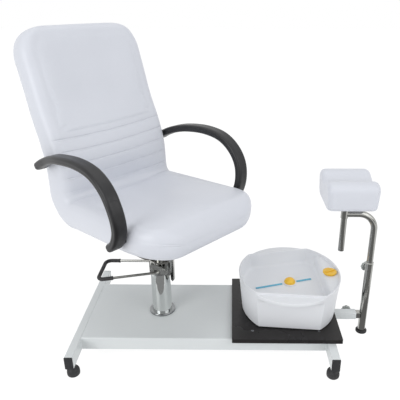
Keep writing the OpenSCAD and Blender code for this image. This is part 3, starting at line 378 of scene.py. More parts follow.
def inflated(obj, voxel, cap, pinned):
    """Mesh of obj remeshed and blown up as cloth; a point moves cap mm at most, and
    pinned(points in mm) gives how firmly each is held, from 0 to 1."""
    remesh = obj.modifiers.new("voxels", "REMESH")
    remesh.mode, remesh.voxel_size = "VOXEL", voxel * MM
    mesh = evaluated_mesh(obj)
    obj.modifiers.clear()
    soft = bpy.data.objects.new("soft_form", mesh)
    bpy.context.scene.collection.objects.link(soft)
    rest = coords(mesh)
    group = soft.vertex_groups.new(name="held")
    hold = np.clip(pinned(rest / MM), 0, 1)
    for i in np.nonzero(hold > 0.01)[0]:
        group.add([int(i)], float(hold[i]), "REPLACE")
    cloth = soft.modifiers.new("cloth", "CLOTH")
    s = cloth.settings
    s.quality, s.mass, s.air_damping = 5, 0.3, 1.0
    s.tension_stiffness = s.compression_stiffness = 30
    s.shear_stiffness, s.bending_stiffness = 12, 0.8
    s.use_pressure, s.uniform_pressure_force = True, CLOTH_PRESSURE
    s.effector_weights.gravity = 0
    s.vertex_group_mass = "held"
    s.pin_stiffness = 1.0
    cloth.collision_settings.use_collision = False
    scene = bpy.context.scene
    for f in range(1, CLOTH_FRAMES + 1):
        scene.frame_set(f)
    moved = coords(evaluated_mesh(soft)) - rest
    length = np.linalg.norm(moved, axis=1)
    moved *= np.minimum(1, cap * MM / np.maximum(length, 1e-9))[:, None]
    soft.modifiers.clear()
    scene.frame_set(1)
    mesh.vertices.foreach_set("co", (rest + moved).ravel())
    mesh.update()
    bpy.data.objects.remove(soft)
    return mesh


def snap_to(points_mm, mesh, reach):
    """Points in mm carried to the nearest place of a mesh, if it is within reach."""
    tree = BVHTree.FromPolygons([tuple(v) for v in coords(mesh)],
                                [tuple(p.vertices) for p in mesh.polygons])
    out = np.array(points_mm, float)
    for i, p in enumerate(out):
        near = tree.find_nearest(Vector(p * MM), reach * MM)
        if near[0] is not None:
            out[i] = np.array(near[0]) / MM
    return out


def swelled(obj, points_mm, swollen, reach, least):
    """Points of obj carried to a swollen mesh, at most least mm inside where they were."""
    normals = np.zeros(len(points_mm) * 3)
    obj.data.vertices.foreach_get("normal", normals)
    normals = normals.reshape(-1, 3)
    if np.sum(normals * (points_mm - points_mm.mean(axis=0))) < 0:
        normals = -normals
    moved = snap_to(points_mm, swollen, reach) - points_mm
    short = np.maximum(-least - np.sum(moved * normals, axis=1), 0)
    return points_mm + moved + short[:, None] * normals


# ---- chair upholstery: one skin from the seat's front edge over the crease to the back's top
ca, sa = math.cos(math.radians(CHAIR_TURN)), math.sin(math.radians(CHAIR_TURN))


def chair_to_row(p):
    p = np.asarray(p, float)
    return np.stack([p[..., 0] * ca + p[..., 1] * sa, -p[..., 0] * sa + p[..., 1] * ca,
                     p[..., 2]], -1)


def row_to_chair(p):
    p = np.asarray(p, float)
    return np.stack([p[..., 0] * ca - p[..., 1] * sa, p[..., 0] * sa + p[..., 1] * ca,
                     p[..., 2]], -1)


pitch = math.radians(SEAT_PITCH)
top_n = np.array([-math.sin(pitch), math.cos(pitch)])
seat_dir = np.array([math.cos(pitch), math.sin(pitch)])


def seat_face(x):
    return np.array([0, SEAT_Z]) + x * seat_dir + SEAT_T * top_n


bend_c = seat_face(-CREASE_X + BEND_R) + BEND_R * top_n
BACK_LINE = [(bend_c[0] - BEND_R, bend_c[1] + 8), (-208, 709), (-237, 803), (-278, 893),
             (-309, 986), (-341, 1080), (-374, 1172)]


def back_normal(u):
    """Direction out of the back's show face at u along its line."""
    d = catmull(BACK_LINE, min(u + 0.01, 1)) - catmull(BACK_LINE, max(u - 0.01, 0))
    d /= np.linalg.norm(d)
    return np.array([d[1], -d[0]])


def quarter(x, front, r):
    """How far a quarter circle of radius r that ends at front has fallen at x."""
    return 0.0 if x <= front - r else r - math.sqrt(max(r * r - (x - front + r) ** 2, 0))


def skin_ring(w, t, crown, hollow, r_show, r_rear, p, n, split=0.5):
    """Closed ring of the upholstery in the chair's frame: show face, sides, rear face."""
    r2 = min(r_rear, t * split - 1)
    r1 = min(r_show, t - r2 - 2)
    q = []
    for k in np.linspace(-1, 1, 49)[1:-1]:
        rise = crown * (1 - k * k) - hollow * float(1 - smoothstep(0.25, 0.98, abs(k)))
        q.append((k * (w - r1), t + rise))
    for a in np.linspace(90, 0, 11):
        c, s = math.cos(math.radians(a)), math.sin(math.radians(a))
        q.append((w - r1 + r1 * c, t - r1 + r1 * s))
    side = t - r1 - r2
    q += [(w + 1.5 * math.sin(math.pi * f), t - r1 - side * f) for f in (0.25, 0.5, 0.75)]
    for a in np.linspace(0, -90, 8):
        c, s = math.cos(math.radians(a)), math.sin(math.radians(a))
        q.append((w - r2 + r2 * c, r2 + r2 * s))
    half = q[46:]
    q += [(k * (w - r2), 0.0) for k in np.linspace(1, -1, 27)[1:-1]]
    q += [(-a, b) for a, b in reversed(half)][:-1]
    ring = []
    for y, h in q:
        d = h - t
        ring.append((p[0] + n[0] * d, y, p[1] + n[1] * d))
    return ring


def upholstery_stations():
    """(kind, value) from the seat's front edge to the top of the back."""
    out = [("seat", SEAT_FRONT - SEAT_CORNER * (1 - math.sin(math.radians(a))))
           for a in (88, 85, 80, 74, 68, 61, 54, 47, 40, 32, 24, 16, 8)]
    out += [("seat", x) for x in np.linspace(SEAT_FRONT - SEAT_CORNER, -CREASE_X + BEND_R, 42)]
    out += [("bend", a) for a in (88, 80, 72, 64, 56, 48, 40, 32, 24, 16, 8)]
    steps = [0.0]
    marks = [CHANNEL_0 + k * CHANNEL_PITCH for k in range(CHANNELS)]
    s = 0.0
    while s < BACK_LEN - BACK_CORNER:
        near = min(max(m - 22 - s, s - m + 3, 0) for m in marks)
        s += 2.0 if near < 4 else 4.5
        steps.append(s)
    steps += [BACK_LEN - BACK_CORNER * (1 - math.sin(math.radians(a)))
              for a in (6, 12, 18, 24, 31, 38, 45, 52, 59, 66, 73, 80, 85, 88.5)]
    out += [("back", v / BACK_LEN) for v in sorted(steps) if v > 2]
    return out


def upholstery_ring(kind, v, slim=0.0):
    """One ring; slim takes that many mm off every side, so that the cloth can swell."""
    split = 0.5
    if kind == "seat":
        drop, rise = quarter(v, SEAT_FRONT, SEAT_NOSE), quarter(v, SEAT_FRONT, SEAT_RISE)
        w = HALF_W - quarter(v, SEAT_FRONT, SEAT_CORNER)
        t = SEAT_T - drop - rise
        p, n = seat_face(v) - drop * top_n, top_n
        dish = CREASE_DIP * float(1 - smoothstep(-120, 190, v))
        front = float(smoothstep(110, 270, v))
        crown, hollow = 7 * min(1, t / SEAT_T), dish
        r, low, split = SHOW_ROLL, SHOW_ROLL + 26 * front, 0.5 + 0.14 * front
    elif kind == "bend":
        n = np.array([math.cos(math.radians(v)), math.sin(math.radians(v))])
        t, w = SEAT_T + (80 - v) * 0.12, HALF_W
        p = bend_c - BEND_R * n
        crown, hollow, r, low = 3.5, CREASE_DIP, SHOW_ROLL, UNDER_ROLL
    else:
        left = BACK_LEN * (1 - v)
        round_t = quarter(BACK_LEN - left, BACK_LEN, 46)
        w = HALF_W - quarter(BACK_LEN - left, BACK_LEN, BACK_CORNER)
        n = back_normal(v)
        p = catmull(BACK_LINE, v) - round_t * 0.75 * n
        t = SEAT_T + 2 + (BACK_T - SEAT_T - 2) * min(1, v * 1.6) - round_t * 1.5
        crown = 4 * min(1, t / BACK_T)
        hollow = 7 * float(smoothstep(0.40, 0.62, v) * (1 - smoothstep(0.76, 0.985, v)))
        hollow += CREASE_DIP * float(1 - smoothstep(0.0, 0.16, v))
        r, low = 40, 26
    return skin_ring(w - slim, t - 2 * slim, crown, hollow, r, low, p - slim * n, n, split)


stations = upholstery_stations()
skin_rings = [upholstery_ring(k, v) for k, v in stations]
skin_verts, skin_faces = loft([chair_to_row(r) for r in skin_rings])
face_line = np.array([(r[23][0], r[23][2]) for r in skin_rings])
face_n = np.gradient(face_line, axis=0)
face_n /= np.linalg.norm(face_n, axis=1)[:, None]
seam_marks = []
for k in range(CHANNELS):
    u = (CHANNEL_0 + k * CHANNEL_PITCH) / BACK_LEN
    seam_marks.append((catmull(BACK_LINE, u), back_normal(u)))
crease_n = np.array([math.cos(math.radians(CREASE_ANGLE)), math.sin(math.radians(CREASE_ANGLE))])
crease_way = np.array([-crease_n[1], crease_n[0]])
seam_marks.append((bend_c - BEND_R * crease_n - 2 * crease_way, crease_n))


def seam_sag(y):
    """How far under its straight line a seam runs at y, in mm along the cushion."""
    f = np.asarray(y, float) / SEAM_END
    return SEAM_LOW - SEAM_TILT * f + SEAM_SAG * (1 - f * f)


def seam_offset(p, mark, normal):
    """Signed distance of chair points from a seam's line, and depth under its show face."""
    along = np.array([-normal[1], normal[0]])
    d = p[:, [0, 2]] - mark
    return d @ along + seam_sag(p[:, 1]), -(d @ normal)


def seam_pull(p, depth, width):
    """How far each chair point is drawn in by the sewn seams, and in which direction."""
    pull, way = np.zeros(len(p)), np.zeros((len(p), 2))
    across = 1 - smoothstep(0.90, 0.985, np.abs(p[:, 1]) / HALF_W)
    for k, (mark, normal) in enumerate(seam_marks):
        off, deep = seam_offset(p, mark, normal)
        pucker = 1 + 0.22 * np.sin(p[:, 1] / 8.3 + 2.1 * k) + 0.16 * np.sin(p[:, 1] / 14.7 + k)
        amount = depth * pucker * np.exp(-(off / width) ** 2) * across
        amount = amount * (deep < SEAM_FRONT) * (deep > -SEAM_BEHIND)
        better = amount > pull
        pull[better] = amount[better]
        way[better] = normal
    return pull, way


def held_by_seams(p):
    """How firmly the cloth is held: at the seams, and where the seat lies on its board."""
    q = row_to_chair(p)
    tight, _ = seam_pull(q, 1.0, 15.0)
    under = (q[:, 2] < SEAT_Z + 10) & (q[:, 0] > -190) & (q[:, 0] < 200)
    return np.maximum(tight, under * 1.0)


upholstery = add_object("chair_upholstery", skin_verts, skin_faces)
slim_rings = [chair_to_row(upholstery_ring(k, v, CLOTH_ROOM)) for k, v in stations]
v0, f0 = loft(slim_rings)
form = outward(add_object("slim_form", v0, f0))
swollen = inflated(form, 6.0, 7.5, held_by_seams)
bpy.data.objects.remove(form)
skin_verts = swelled(upholstery, skin_verts, swollen, 16, 0.8)
chair_pts = row_to_chair(skin_verts)
for depth, width in SEAM_PULLS:
    pull, way = seam_pull(chair_pts, depth, width)
    chair_pts[:, 0] -= pull * way[:, 0]
    chair_pts[:, 2] -= pull * way[:, 1]
upholstery.data.vertices.foreach_set("co", (chair_to_row(chair_pts) * MM).ravel())
outward(upholstery)
skin_tree = BVHTree.FromPolygons([tuple(v) for v in coords(upholstery.data)],
                                 [tuple(p.vertices) for p in upholstery.data.polygons])
dress(upholstery, vinyl, "chair", "white_vinyl", "seat_cushion", "back_cushion")
subdivided(upholstery)


def on_skin(points_mm, lift):
    """Points about the pump's axis carried to the upholstery, and lift mm off it."""
    out = []
    for p in points_mm:
        near, normal, _, _ = skin_tree.find_nearest(Vector(p) * MM)
        out.append((np.array(near) + np.array(normal) * lift * MM) / MM)
    return np.array(out)


def stitches(name, line_mm):
    """Row of short thread stitches laid along a line on the upholstery."""
    pitch, length, r = 4.6, 3.4, 0.32
    line = np.asarray(line_mm, float)
    step = np.linalg.norm(np.diff(line, axis=0), axis=1)
    run = np.concatenate([[0], np.cumsum(step)])
    verts, faces = [], []
    for s in np.arange(pitch, run[-1] - pitch, pitch):
        a = np.array([np.interp(s, run, line[:, i]) for i in range(3)])
        b = np.array([np.interp(s + length, run, line[:, i]) for i in range(3)])
        d = (b - a) / max(np.linalg.norm(b - a), 1e-6)
        u = np.cross(d, (0.3, 0.2, 1.0))
        u /= np.linalg.norm(u)
        v = np.cross(d, u)
        first = len(verts)
        for f, k in ((0.0, 0.35), (0.2, 1.0), (0.8, 1.0), (1.0, 0.35)):
            for g in range(5):
                w = 2 * math.pi * g / 5
                verts.append(a + d * f * length + r * k * (math.cos(w) * u + math.sin(w) * v))
        for i in range(3):
            faces += [(first + i * 5 + g, first + i * 5 + (g + 1) % 5,
                       first + i * 5 + 5 + (g + 1) % 5, first + i * 5 + 5 + g)
                      for g in range(5)]
        faces.append(tuple(first + g for g in range(4, -1, -1)))
        faces.append(tuple(first + 15 + g for g in range(5)))
    return add_object(name, verts, faces)


seam_parts = []
for i, (mark, normal) in enumerate(seam_marks):
    along = np.array([-normal[1], normal[0]])
    for side in (-1, 1):
        base = mark + along * side * 3.2
        line = chair_to_row([(base[0] - along[0] * seam_sag(y), y, base[1] - along[1] * seam_sag(y))
                             for y in np.linspace(-SEAM_END, SEAM_END, 93)])
        seam_parts.append(stitches(f"seam_{i}_{side + 1}", on_skin(line, 0.1)))
dress(joined(seam_parts, "upholstery_stitching"), thread, "chair", "white_vinyl")


# ---- armrests: moulded foam ribbons with rounded ends and a parting line
def armrest(name, side, node):
    rings = []
    us = np.concatenate([[0, 0.003, 0.008, 0.015, 0.024], np.linspace(0.035, 0.965, 90),
                         np.linspace(0.627, 0.693, 34), [0.976, 0.985, 0.992, 0.997, 1]])
    for u in np.unique(np.round(us, 4)):
        d = catmull(ARM_LINE, min(u + 0.01, 1)) - catmull(ARM_LINE, max(u - 0.01, 0))
        d /= np.linalg.norm(d)
        n = np.array([-d[1], d[0]])
        p = catmull(ARM_LINE, u)
        e = min(u, 1 - u) * ARM_RUN
        k = 1.0
        if e < ARM_END:
            k = 0.30 + 0.70 * math.sqrt(max(0, 1 - (1 - e / ARM_END) ** 2))
        y0 = side * (ARM_Y + ARM_BOW * float(smoothstep(0.14, 0.34, min(u, 1 - u))))
        ring = []
        for a in np.linspace(0, 2 * np.pi, 56, endpoint=False):
            c, s = math.cos(a), math.sin(a)
            half_w = ARM_W / 2 - (1 - k) * 7
            y = half_w * float(power(c, 0.5))
            q = k * ARM_T / 2 * float(power(s, 0.66))
            if s > 0:  # top a little dished, with one crease bent across it
                fold = (u - ARM_CREASE - 0.012 * (y / 15.0) ** 2) * ARM_RUN / 1.7
                q -= 1.2 * k * math.exp(-(y / 13.0) ** 2)
                q -= 1.1 * math.exp(-fold ** 2) * float(1 - smoothstep(12, 17, abs(y)))
            if abs(s) < 0.06:
                y -= math.copysign(0.7, c) * k  # parting line
            ring.append((p[0] + n[0] * q, y0 + y, p[1] + n[1] * q))
        rings.append(chair_to_row(ring))
    verts, faces = loft(rings)
    obj = outward(add_object(name, verts, faces))
    dress(obj, arm_black, "chair", "black_arm", node)
    return subdivided(obj)


armrest("armrest_near", -1, "armrest_right")
armrest("armrest_far", 1, "armrest_left")


# ---- leg rest pad: saddle of two humps under the same vinyl
def pad_ring(x, slim=0.0):
    half = PAD_LEN / 2 - slim
    e = max(half - abs(x), 0)
    k = 0
    if e < PAD_ROLL:
        k = PAD_ROLL - math.sqrt(max(PAD_ROLL ** 2 - (PAD_ROLL - e) ** 2, 0))
    w = PAD_W / 2 - slim - k
    ring = []
    for a in np.linspace(0, 2 * np.pi, 72, endpoint=False):
        lower = math.sin(a) < 0
        y = w * float(power(math.cos(a), 0.24 if lower else 0.42))
        up = 0.5 + 0.5 * float(power(math.sin(a), 0.26 if lower else 0.46))
        top = PAD_H - slim - k - PAD_TROUGH * float(bump(y, TROUGH_W)) * up
        low = k * 0.25 + slim * 0.5
        ring.append((COLLAR_X + 4 + x * (0.95 + 0.05 * up), y * (0.95 + 0.05 * up),
                     PAD_Z + low + up * (top - low)))
    return ring


pad_x = np.array([-PAD_LEN / 2 + PAD_ROLL * (1 - math.sin(math.radians(a)))
                  for a in (88, 80, 70, 58, 46, 34, 22, 10)]
                 + list(np.linspace(22 - PAD_LEN / 2, PAD_LEN / 2 - 22, 22)))
pad_x = np.concatenate([pad_x, -pad_x[7::-1]])
verts, faces = loft([pad_ring(x) for x in pad_x])
pad = outward(add_object("leg_pad", verts, faces))
v0, f0 = loft([pad_ring(x * (1 - 7 / PAD_LEN), 3.5) for x in pad_x])
form = outward(add_object("slim_pad", v0, f0))
puffed = inflated(form, 4.0, 5.0, lambda p: (p[:, 2] < PAD_Z + 8) * 1.0)
bpy.data.objects.remove(form)
moved = swelled(pad, coords(pad.data) / MM, puffed, 12, 0.5)
pad.data.vertices.foreach_set("co", (moved * MM).ravel())
pad.data.update()
dress(pad, vinyl, "pad", "white_vinyl", "pad_cushion")
subdivided(pad)


# ---- pump lever: bent rod and a rubber grip with flared ends
def lever_to_row(p):
    p = np.asarray(p, float)
    a = math.radians(-LEVER_SLOPE)
    x, y, z = -p[..., 0], p[..., 1], p[..., 2]
    return np.stack([PIVOT[0] + x * math.cos(a) + z * math.sin(a), y,
                     PIVOT[1] - x * math.sin(a) + z * math.cos(a)], -1)


ang = math.atan((LEVER_SPREAD - ROD_Y) / (LEVER_LEN - LEVER_START))
bend_run = ROD_BEND * math.tan((math.pi / 2 + ang) / 2)


def rod_centre(arm):
    """Centre line of the bent rod, with arm mm of straight rod on either side."""
    c = np.array([LEVER_LEN - ROD_BEND, LEVER_SPREAD - bend_run])
    d = np.array([math.cos(ang), math.sin(ang)])
    side = ROD_BEND * np.array([-d[1], d[0]])
    half = [c + side - f * d for f in np.linspace(arm, 0, 14)[:-1]]
    half += [c + ROD_BEND * np.array([math.cos(a), math.sin(a)])
             for a in np.linspace(math.pi / 2 + ang, 0, 14)]
    x, y = half[-1]
    whole = half + [(x, across) for across in np.linspace(y, -y, 12)[1:-1]]
    whole += [(h[0], -h[1]) for h in reversed(half)]
    return np.array([(p[0], p[1], 0.0) for p in whole])


arm_run = math.hypot(LEVER_LEN - LEVER_START, LEVER_SPREAD - ROD_Y) - bend_run
rod = tube("lever_rod", lever_to_row(rod_centre(arm_run)), ROD_R, 20)
# the rod takes the darker chrome copy with painted shade
dress(rod, tube_chrome_painted_shade, "lever", "zinc_steel", "lever_fork")
grip_line = rod_centre(36)
run = np.concatenate([[0], np.cumsum(np.linalg.norm(np.diff(grip_line, axis=0), axis=1))])
fine_run = np.concatenate([[0, 0.6, 1.6, 3, 5, 7, 10], np.linspace(14, run[-1] - 14, 74),
                           run[-1] - np.array([10, 7, 5, 3, 1.6, 0.6, 0])])
fine_line = np.stack([np.interp(fine_run, run, grip_line[:, i]) for i in range(3)], 1)
end = np.minimum(fine_run, run[-1] - fine_run)
grip_r = GRIP_R - 0.7 + 0.9 * np.exp(-((end - 2.5) / 2.6) ** 2) - 2.6 * np.exp(-(end / 0.7) ** 2)
grip_r = grip_r + 0.16 * np.cos(fine_run * 2 * np.pi / 6.0) * (end > 12)
grip = tube("lever_grip_sleeve", lever_to_row(fine_line), grip_r, 28)
dress(grip, rubber, "lever", "black_rubber", "lever_grip")


# ---- foot bath: an ellipse cut straight on both long sides, a crescent grip under each rim
tub_turn = Matrix.Rotation(math.radians(TUB_TURN), 4, "Z")
tub_place = spot(TUB_X, TUB_Y, TUB_Z, tub_turn)


def cut_angle(l, b, c, slope):
    """Angle on the ellipse at which the straight cut meets it."""
    m = l * slope
    return math.asin(c / math.hypot(b, m)) + math.atan2(m, b)


def tub_ring(z, thick, grip=0.0):
    """Ring of the bath at height z, thick mm inside its wall; grip 1 is the uncut ellipse."""
    d = TUB_DRAFT * (1 - z / TUB_H)
    l, b = TUB_LEN / 2 - d - thick, TUB_OVER / 2 - d - thick
    c = TUB_W / 2 - d * CHORD_DRAFT - thick
    slope = math.tan(math.radians(TUB_SPLAY))
    a0, a1 = cut_angle(l, b, c, slope), cut_angle(l, b, c, -slope)
    knots = (-a0, a0, math.pi - a1, math.pi + a1, 2 * math.pi - a0)
    angles = []
    for lo, hi, n in zip(knots[:-1], knots[1:], (64, 36, 64, 36)):
        even = np.arange(n) / n
        angles += list(lo + (hi - lo) * (0.6 * even + 0.4 * (0.5 - 0.5 * np.cos(np.pi * even))))
    a = np.array(angles)
    x, y = l * np.cos(a), b * np.sin(a)
    limit = c + x * slope
    straight = np.clip(y, -limit, limit)
    return np.stack([x, straight + (y - straight) * grip, np.full(len(a), z)], 1)


rings = [tub_ring(0, 40), tub_ring(0, 4), tub_ring(0.8, 1.4), tub_ring(3, 0.2)]
rings += [tub_ring(z, 0) for z in list(np.linspace(8, TUB_H - 42, 12)) + [TUB_H - 39.5]]
rings += [tub_ring(TUB_H - 39 + 17 * f, 0, f) for f in (0.03, 0.1, 0.3, 0.5, 0.7, 0.88, 0.96)]
rings += [tub_ring(TUB_H - h, 0, g) for h, g in
          ((20.5, 0.985), (19, 0.997), (17, 1.0), (11.5, 1.0), (9.6, 0.99), (8.6, 0.965),
           (8.15, 0.92), (8.0, 0.8), (7.8, 0.5), (7.7, 0.2), (7.4, 0.06), (6.6, 0.015), (5.6, 0))]
rings += [tub_ring(TUB_H - h, t) for h, t in
          ((4.4, -0.3), (2.4, -0.4), (0.9, 0.2), (0.15, 1.3), (0, 2.6), (0.3, 4.0), (1.3, 5.0),
           (3, TUB_WALL + 0.7), (8, TUB_WALL + 1), (20, TUB_WALL + 1), (40, TUB_WALL + 1))]
rings += [tub_ring(TUB_FLOOR + h, TUB_WALL + i) for h, i in
          ((16, 1), (12, 1.2), (8, 3), (4.6, 5.4), (2, 9), (0.6, 13), (0, 18), (0, 40), (0, 70),
           (0, 100), (0, 125))]
verts, faces = loft(rings)
tub = add_object("foot_bath_shell", verts, faces)
tub.data.transform(tub_place)
outward(tub)
dress(tub, tub_white, "foot_bath", "tub_white", "tub_basin")
sharpen(tub, 22)


def pod_ring(z, back):
    """Ring of the dial's pod: it follows the bath's wall; back is how far its face stands back."""
    d = TUB_DRAFT * (1 - z / TUB_H) + TUB_WALL + POD_GAP
    l, b, front = TUB_LEN / 2 - d, TUB_OVER / 2 - d, POD_X + back
    a = math.acos(front / l)
    t = np.linspace(-a, a, 60)
    arc = np.stack([l * np.cos(t), b * np.sin(t)], 1)
    face = np.linspace(arc[-1], arc[0], 32)[1:-1]
    flat = np.concatenate([arc, face])
    return np.column_stack([flat, np.full(len(flat), z)])


verts, faces = loft([pod_ring(TUB_FLOOR + z, back) for z, back in
                     ((-1, -9), (1, -6), (5, -2.4), (12, 0))]
                    + [pod_ring(POD_TOP - z, back) for z, back in
                       ((16, 1), (11, 2.4), (7, 4.8), (3.6, 8.4), (1.4, 13), (0.3, 18), (0, 24))])
pod = add_object("foot_bath_pod", verts, faces)
pod.data.transform(tub_place)
sharpen(outward(pod), 40)
dress(pod, tub_white, "foot_bath", "tub_white", "control_pod")


def dial_shape(a, r, z):
    """Twelve shallow flutes round the dial's side."""
    flute = 1.3 * np.exp(-((a * 12 / (2 * np.pi) % 1 - 0.5) / 0.2) ** 2)
    return r - flute * (2.2 < z < 9.4) * (r > DIAL_R - 4)


dial_place = tub_place @ spot(POD_X + 26, DIAL_Y, POD_TOP + 0.3)
dial = lathe("dial_cap", [(4, 0), (DIAL_R - 4, 0), (DIAL_R - 4, 2), (DIAL_R - 2.4, 2.3),
                          (DIAL_R - 1.6, 3), (DIAL_R - 1.6, 7.6), (DIAL_R - 2.4, 8.7),
                          (DIAL_R - 4.5, 9.2), (DIAL_R - 9, 9.0), (2, 8.6)],
             dial_place, 120, dial_shape)
dress(dial, tub_yellow, "dial", "tub_yellow", "tub_dial")
wing = []
for x in np.linspace(-21, 21, 31):
    k = math.sqrt(max(1 - (x / 21.6) ** 2, 0)) ** 0.5
    ring = []
    for a in np.linspace(0, 2 * np.pi, 20, endpoint=False):
        ring.append((x, 4.2 * k * float(power(math.cos(a), 0.7)),
                     8.9 + 2.2 * k * (1 + float(power(math.sin(a), 0.7)))))
    wing.append(ring)
verts, faces = loft(wing)
bar = add_object("dial_wing", verts, faces)
bar.data.transform(dial_place @ Matrix.Rotation(math.radians(20), 4, "Z"))
outward(bar)
dress(bar, tub_yellow, "dial", "tub_yellow")

dome_place = tub_place @ spot(*DOME_AT, TUB_FLOOR)
dome = lathe("spout_dome",
             [(DOME_R * math.sin(math.radians(a)), 3 + DOME_H * math.cos(math.radians(a)))
              for a in (2, 12, 24, 36, 48, 60, 70, 78, 84, 90)] + [(DOME_R, 1.5)], dome_place)
dress(dome, tub_yellow, "foot_bath", "tub_yellow", "tub_dome")
collar = lathe("spout_ring", [(22.5, 0.2), (25, 0.2), (26.4, 0.8), (27, 2), (26.4, 3.1),
                              (24.8, 3.6), (22.6, 3.4)], dome_place)
dress(collar, tub_white, "foot_bath", "tub_white")

strip_place = dome_place @ Matrix.Rotation(math.radians(STRIP_TURN), 4, "Z")
strips = []
for i, (mid, length) in enumerate(STRIPS):
    rings = []
    for x in np.concatenate([-length / 2 + np.array([0, 0.4, 1.4, 3]),
                             np.linspace(6 - length / 2, length / 2 - 6, 15),
                             length / 2 - np.array([3, 1.4, 0.4, 0])]):
        past = max(abs(x) - length / 2 + 3.5, 0) / 3.6
        k = min(1.0, math.sqrt(max(1 - past ** 2, 0.02)))
        rings.append([(mid + x, STRIP_HALF * k * float(power(math.cos(a), 0.5)),
                       1.5 + 1.5 * k * float(power(math.sin(a), 0.6)))
                      for a in np.linspace(0, 2 * np.pi, 24, endpoint=False)])
    verts, faces = loft(rings)
    obj = add_object(f"bath_strip_{i}", verts, faces)
    obj.data.transform(strip_place)
    strips.append(outward(obj))
dress(strips[0], tub_blue, "foot_bath", "tub_blue", "tub_strip")
dress(strips[1], tub_blue, "foot_bath", "tub_blue")


# ---- clamp knobs
def knob(name, place, body, node, screw):
    """Eight-lobed clamp knob with screw mm of its thread showing under it."""
    def lobes(a, r, z):
        dip = 2.6 * np.exp(-(((a * 8 / (2 * np.pi)) % 1 - 0.5) / 0.17) ** 2)
        return r - dip * smoothstep(12, 15, r)

    profile = [(3.9, -screw), (3.9, 0), (7, 0), (7, 3), (14, 3.2), (17, 3.6), (KNOB_R - 0.4, 4.8),
               (KNOB_R, 7), (KNOB_R, 12.6), (KNOB_R - 0.5, 14.6), (16.6, 15.8), (13.2, 16.3),
               (12.4, 17.6), (11.4, 18.5), (5, 18.9), (1, 18.9)]
    obj = lathe(name, profile, place, 96, lobes)
    return dress(obj, knob_grey, body, "grey_knob", node)


to_y = Matrix.Rotation(math.radians(-90), 4, "X")
knob("clamp_knob_low", spot(SLEEVE_KNOB_X, SLEEVE_W / 2 + 5.3, SLEEVE_Z, to_y),
     "extension_clamp", "extension_knob", 8.0)
knob("clamp_knob_high",
     spot(POST_X, 0, KNOB_Z) @ Matrix.Rotation(math.radians(15), 4, "Z") @ to_y
     @ spot(0, 0, POST_R + 0.3), "height_clamp", "height_knob", 2.6)


# ---- levelling glides: flat rubber domes with a neck up to the leg
GLIDE = [(11, 0.2), (17.5, 0.2), (20.4, 1.6), (22.4, 4.6), (23, 9), (22.9, 17), (22.2, 22),
         (20.2, 26.5), (16.5, 30), (13.2, 32.4), (12.2, 36), (12.2, 44), (13, 47), (14.2, 49.6),
         (6, 49.8)]
glides = [lathe(f"glide_{x:.0f}_{y:.0f}", GLIDE, spot(x, y, 0), 56)
          for x in GLIDE_X for y in (-GLIDE_Y, GLIDE_Y)]
dress(joined(glides, "glide_domes"), rubber, "base", "black_rubber", "glide_feet")


# ---- floor, light and camera
def seen_by(tree, *rays):
    """Socket that is 1 for the named kinds of ray and 0 for the others."""
    path = tree.nodes.new("ShaderNodeLightPath")
    found = path.outputs[rays[0]]
    for ray in rays[1:]:
        most = tree.nodes.new("ShaderNodeMath")
        most.operation = "MAXIMUM"
        link(tree, found, most.inputs[0])
        link(tree, path.outputs[ray], most.inputs[1])
        found = most.outputs[0]
    return found


def mixed(tree, factor, first, second):
    mix = tree.nodes.new("ShaderNodeMixShader")
    link(tree, factor, mix.inputs["Fac"])
    link(tree, first.outputs[0], mix.inputs[1])
    link(tree, second.outputs[0], mix.inputs[2])
    return mix


FLOOR_WHITE, FLOOR_GLOW, GLOW_SHARE = 0.93, 1.16, 0.80
WORLD_TINT, WORLD_STRENGTH = (0.97, 0.98, 1.0, 1), 0.60

bpy.ops.mesh.primitive_plane_add(size=40, location=(0, 0, -0.0005))
floor = bpy.context.object
floor.name = "floor"
mat = bpy.data.materials.new("floor")
mat.use_nodes = True
nt = mat.node_tree
nt.nodes.clear()
out = nt.nodes.new("ShaderNodeOutputMaterial")
diffuse = nt.nodes.new("ShaderNodeBsdfDiffuse")
diffuse.inputs["Color"].default_value = (FLOOR_WHITE, FLOOR_WHITE, FLOOR_WHITE, 1)
glow = nt.nodes.new("ShaderNodeEmission")
glow.inputs["Strength"].default_value = FLOOR_GLOW
share = nt.nodes.new("ShaderNodeMath")  # the rest of the floor shows the object's shadow
share.operation = "MULTIPLY"
share.inputs[1].default_value = GLOW_SHARE
link(nt, seen_by(nt, "Is Camera Ray", "Is Glossy Ray"), share.inputs[0])
link(nt, mixed(nt, share.outputs[0], diffuse, glow).outputs[0], out.inputs["Surface"])
floor.data.materials.append(mat)

scene = bpy.context.scene
world = scene.world or bpy.data.worlds.new("World")
scene.world = world
world.use_nodes = True
nt = world.node_tree
nt.nodes.clear()
out = nt.nodes.new("ShaderNodeOutputWorld")
soft = nt.nodes.new("ShaderNodeBackground")
soft.inputs["Color"].default_value = WORLD_TINT
soft.inputs["Strength"].default_value = WORLD_STRENGTH
shown = nt.nodes.new("ShaderNodeBackground")
shown.inputs["Color"].default_value = (1, 1, 1, 1)
white_for = seen_by(nt, "Is Camera Ray", "Is Glossy Ray", "Is Transmission Ray")
link(nt, mixed(nt, white_for, soft, shown).outputs[0], out.inputs["Surface"])

pump_axis = Vector(ORIGIN) * MM


def lamp(name, where, target, size, watts):
    """Square lamp; where and target are in metres from the pump's axis."""
    data = bpy.data.lights.new(name, "AREA")
    data.shape, data.size, data.energy = "SQUARE", size, watts
    obj = bpy.data.objects.new(name, data)
    obj.location = pump_axis + Vector(where)
    obj.rotation_euler = (Vector(target) - Vector(where)).to_track_quat("-Z", "Y").to_euler()
    scene.collection.objects.link(obj)
    obj.visible_camera = False


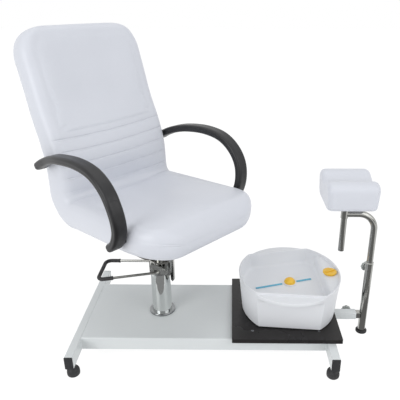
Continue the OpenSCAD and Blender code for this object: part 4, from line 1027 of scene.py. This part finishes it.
lamp("key", (-2.2, -2.5, 1.7), (0.1, 0, 0.55), size=1.8, watts=39)
lamp("fill", (2.6, -1.6, 1.8), (0.3, 0, 0.5), size=2.2, watts=21.5)
lamp("top", (0.2, 0.2, 3.2), (0.2, 0, 0.4), size=2.4, watts=13)


def dark_card(name, where, width, height, grey, flat=False):
    """Card that only reflections see: it puts dark streaks on round chrome. It lies flat on
    the floor or faces the pump's axis."""
    bpy.ops.mesh.primitive_plane_add(size=1, location=pump_axis + Vector(where))
    card = bpy.context.object
    card.name = name
    card.scale = (width, height, 1)
    if not flat:
        inward = Vector((0, 0, where[2])) - Vector(where)
        card.rotation_euler = inward.to_track_quat("Z", "Y").to_euler()
    card.visible_camera = card.visible_diffuse = card.visible_shadow = False
    card.visible_transmission = False
    dark = bpy.data.materials.new(name)
    dark.use_nodes = True
    tree = dark.node_tree
    tree.nodes.clear()
    end = tree.nodes.new("ShaderNodeOutputMaterial")
    shade = tree.nodes.new("ShaderNodeEmission")
    shade.inputs["Color"].default_value = (grey, grey, grey, 1)
    link(tree, shade.outputs[0], end.inputs["Surface"])
    card.data.materials.append(dark)


dark_card("card_floor", (0.35, -1.60, 0.001), 2.0, 2.6, grey=0.27, flat=True)
dark_card("card_post", (0.90, -0.14, 0.001), 0.50, 0.27, grey=0.24, flat=True)
dark_card("card_front", (0.15, -3.6, 0.8), 1.3, 1.9, grey=0.10)
dark_card("card_left", (-3.4, -1.5, 0.9), 0.7, 2.4, grey=0.16)
dark_card("card_right", (3.3, -1.7, 0.9), 0.9, 2.4, grey=0.16)

# camera as solved from the platform's edges, the cross legs and the post in the photograph
CAMERA_AT, CAMERA_WAY = (0.2748, -1.6188, 1.2520), (-0.01486, 0.92143, -0.38836)
CAMERA_ROLL, CAMERA_LENS, CAMERA_SHIFT = -0.18, 43.62, (-0.0612, 0.0029)
camera_data = bpy.data.cameras.new("camera")
camera = bpy.data.objects.new("camera", camera_data)
scene.collection.objects.link(camera)
scene.camera = camera
camera.location = pump_axis + Vector(CAMERA_AT)
aim = Vector(CAMERA_WAY).normalized().to_track_quat("-Z", "Y")
roll = Matrix.Rotation(math.radians(CAMERA_ROLL), 4, "Z").to_quaternion()
camera.rotation_mode = "QUATERNION"
camera.rotation_quaternion = aim @ roll
camera_data.sensor_width, camera_data.lens = 36, CAMERA_LENS
camera_data.shift_x, camera_data.shift_y = CAMERA_SHIFT
camera_data.clip_start, camera_data.clip_end = 0.05, 60

scene.view_settings.view_transform = "Standard"
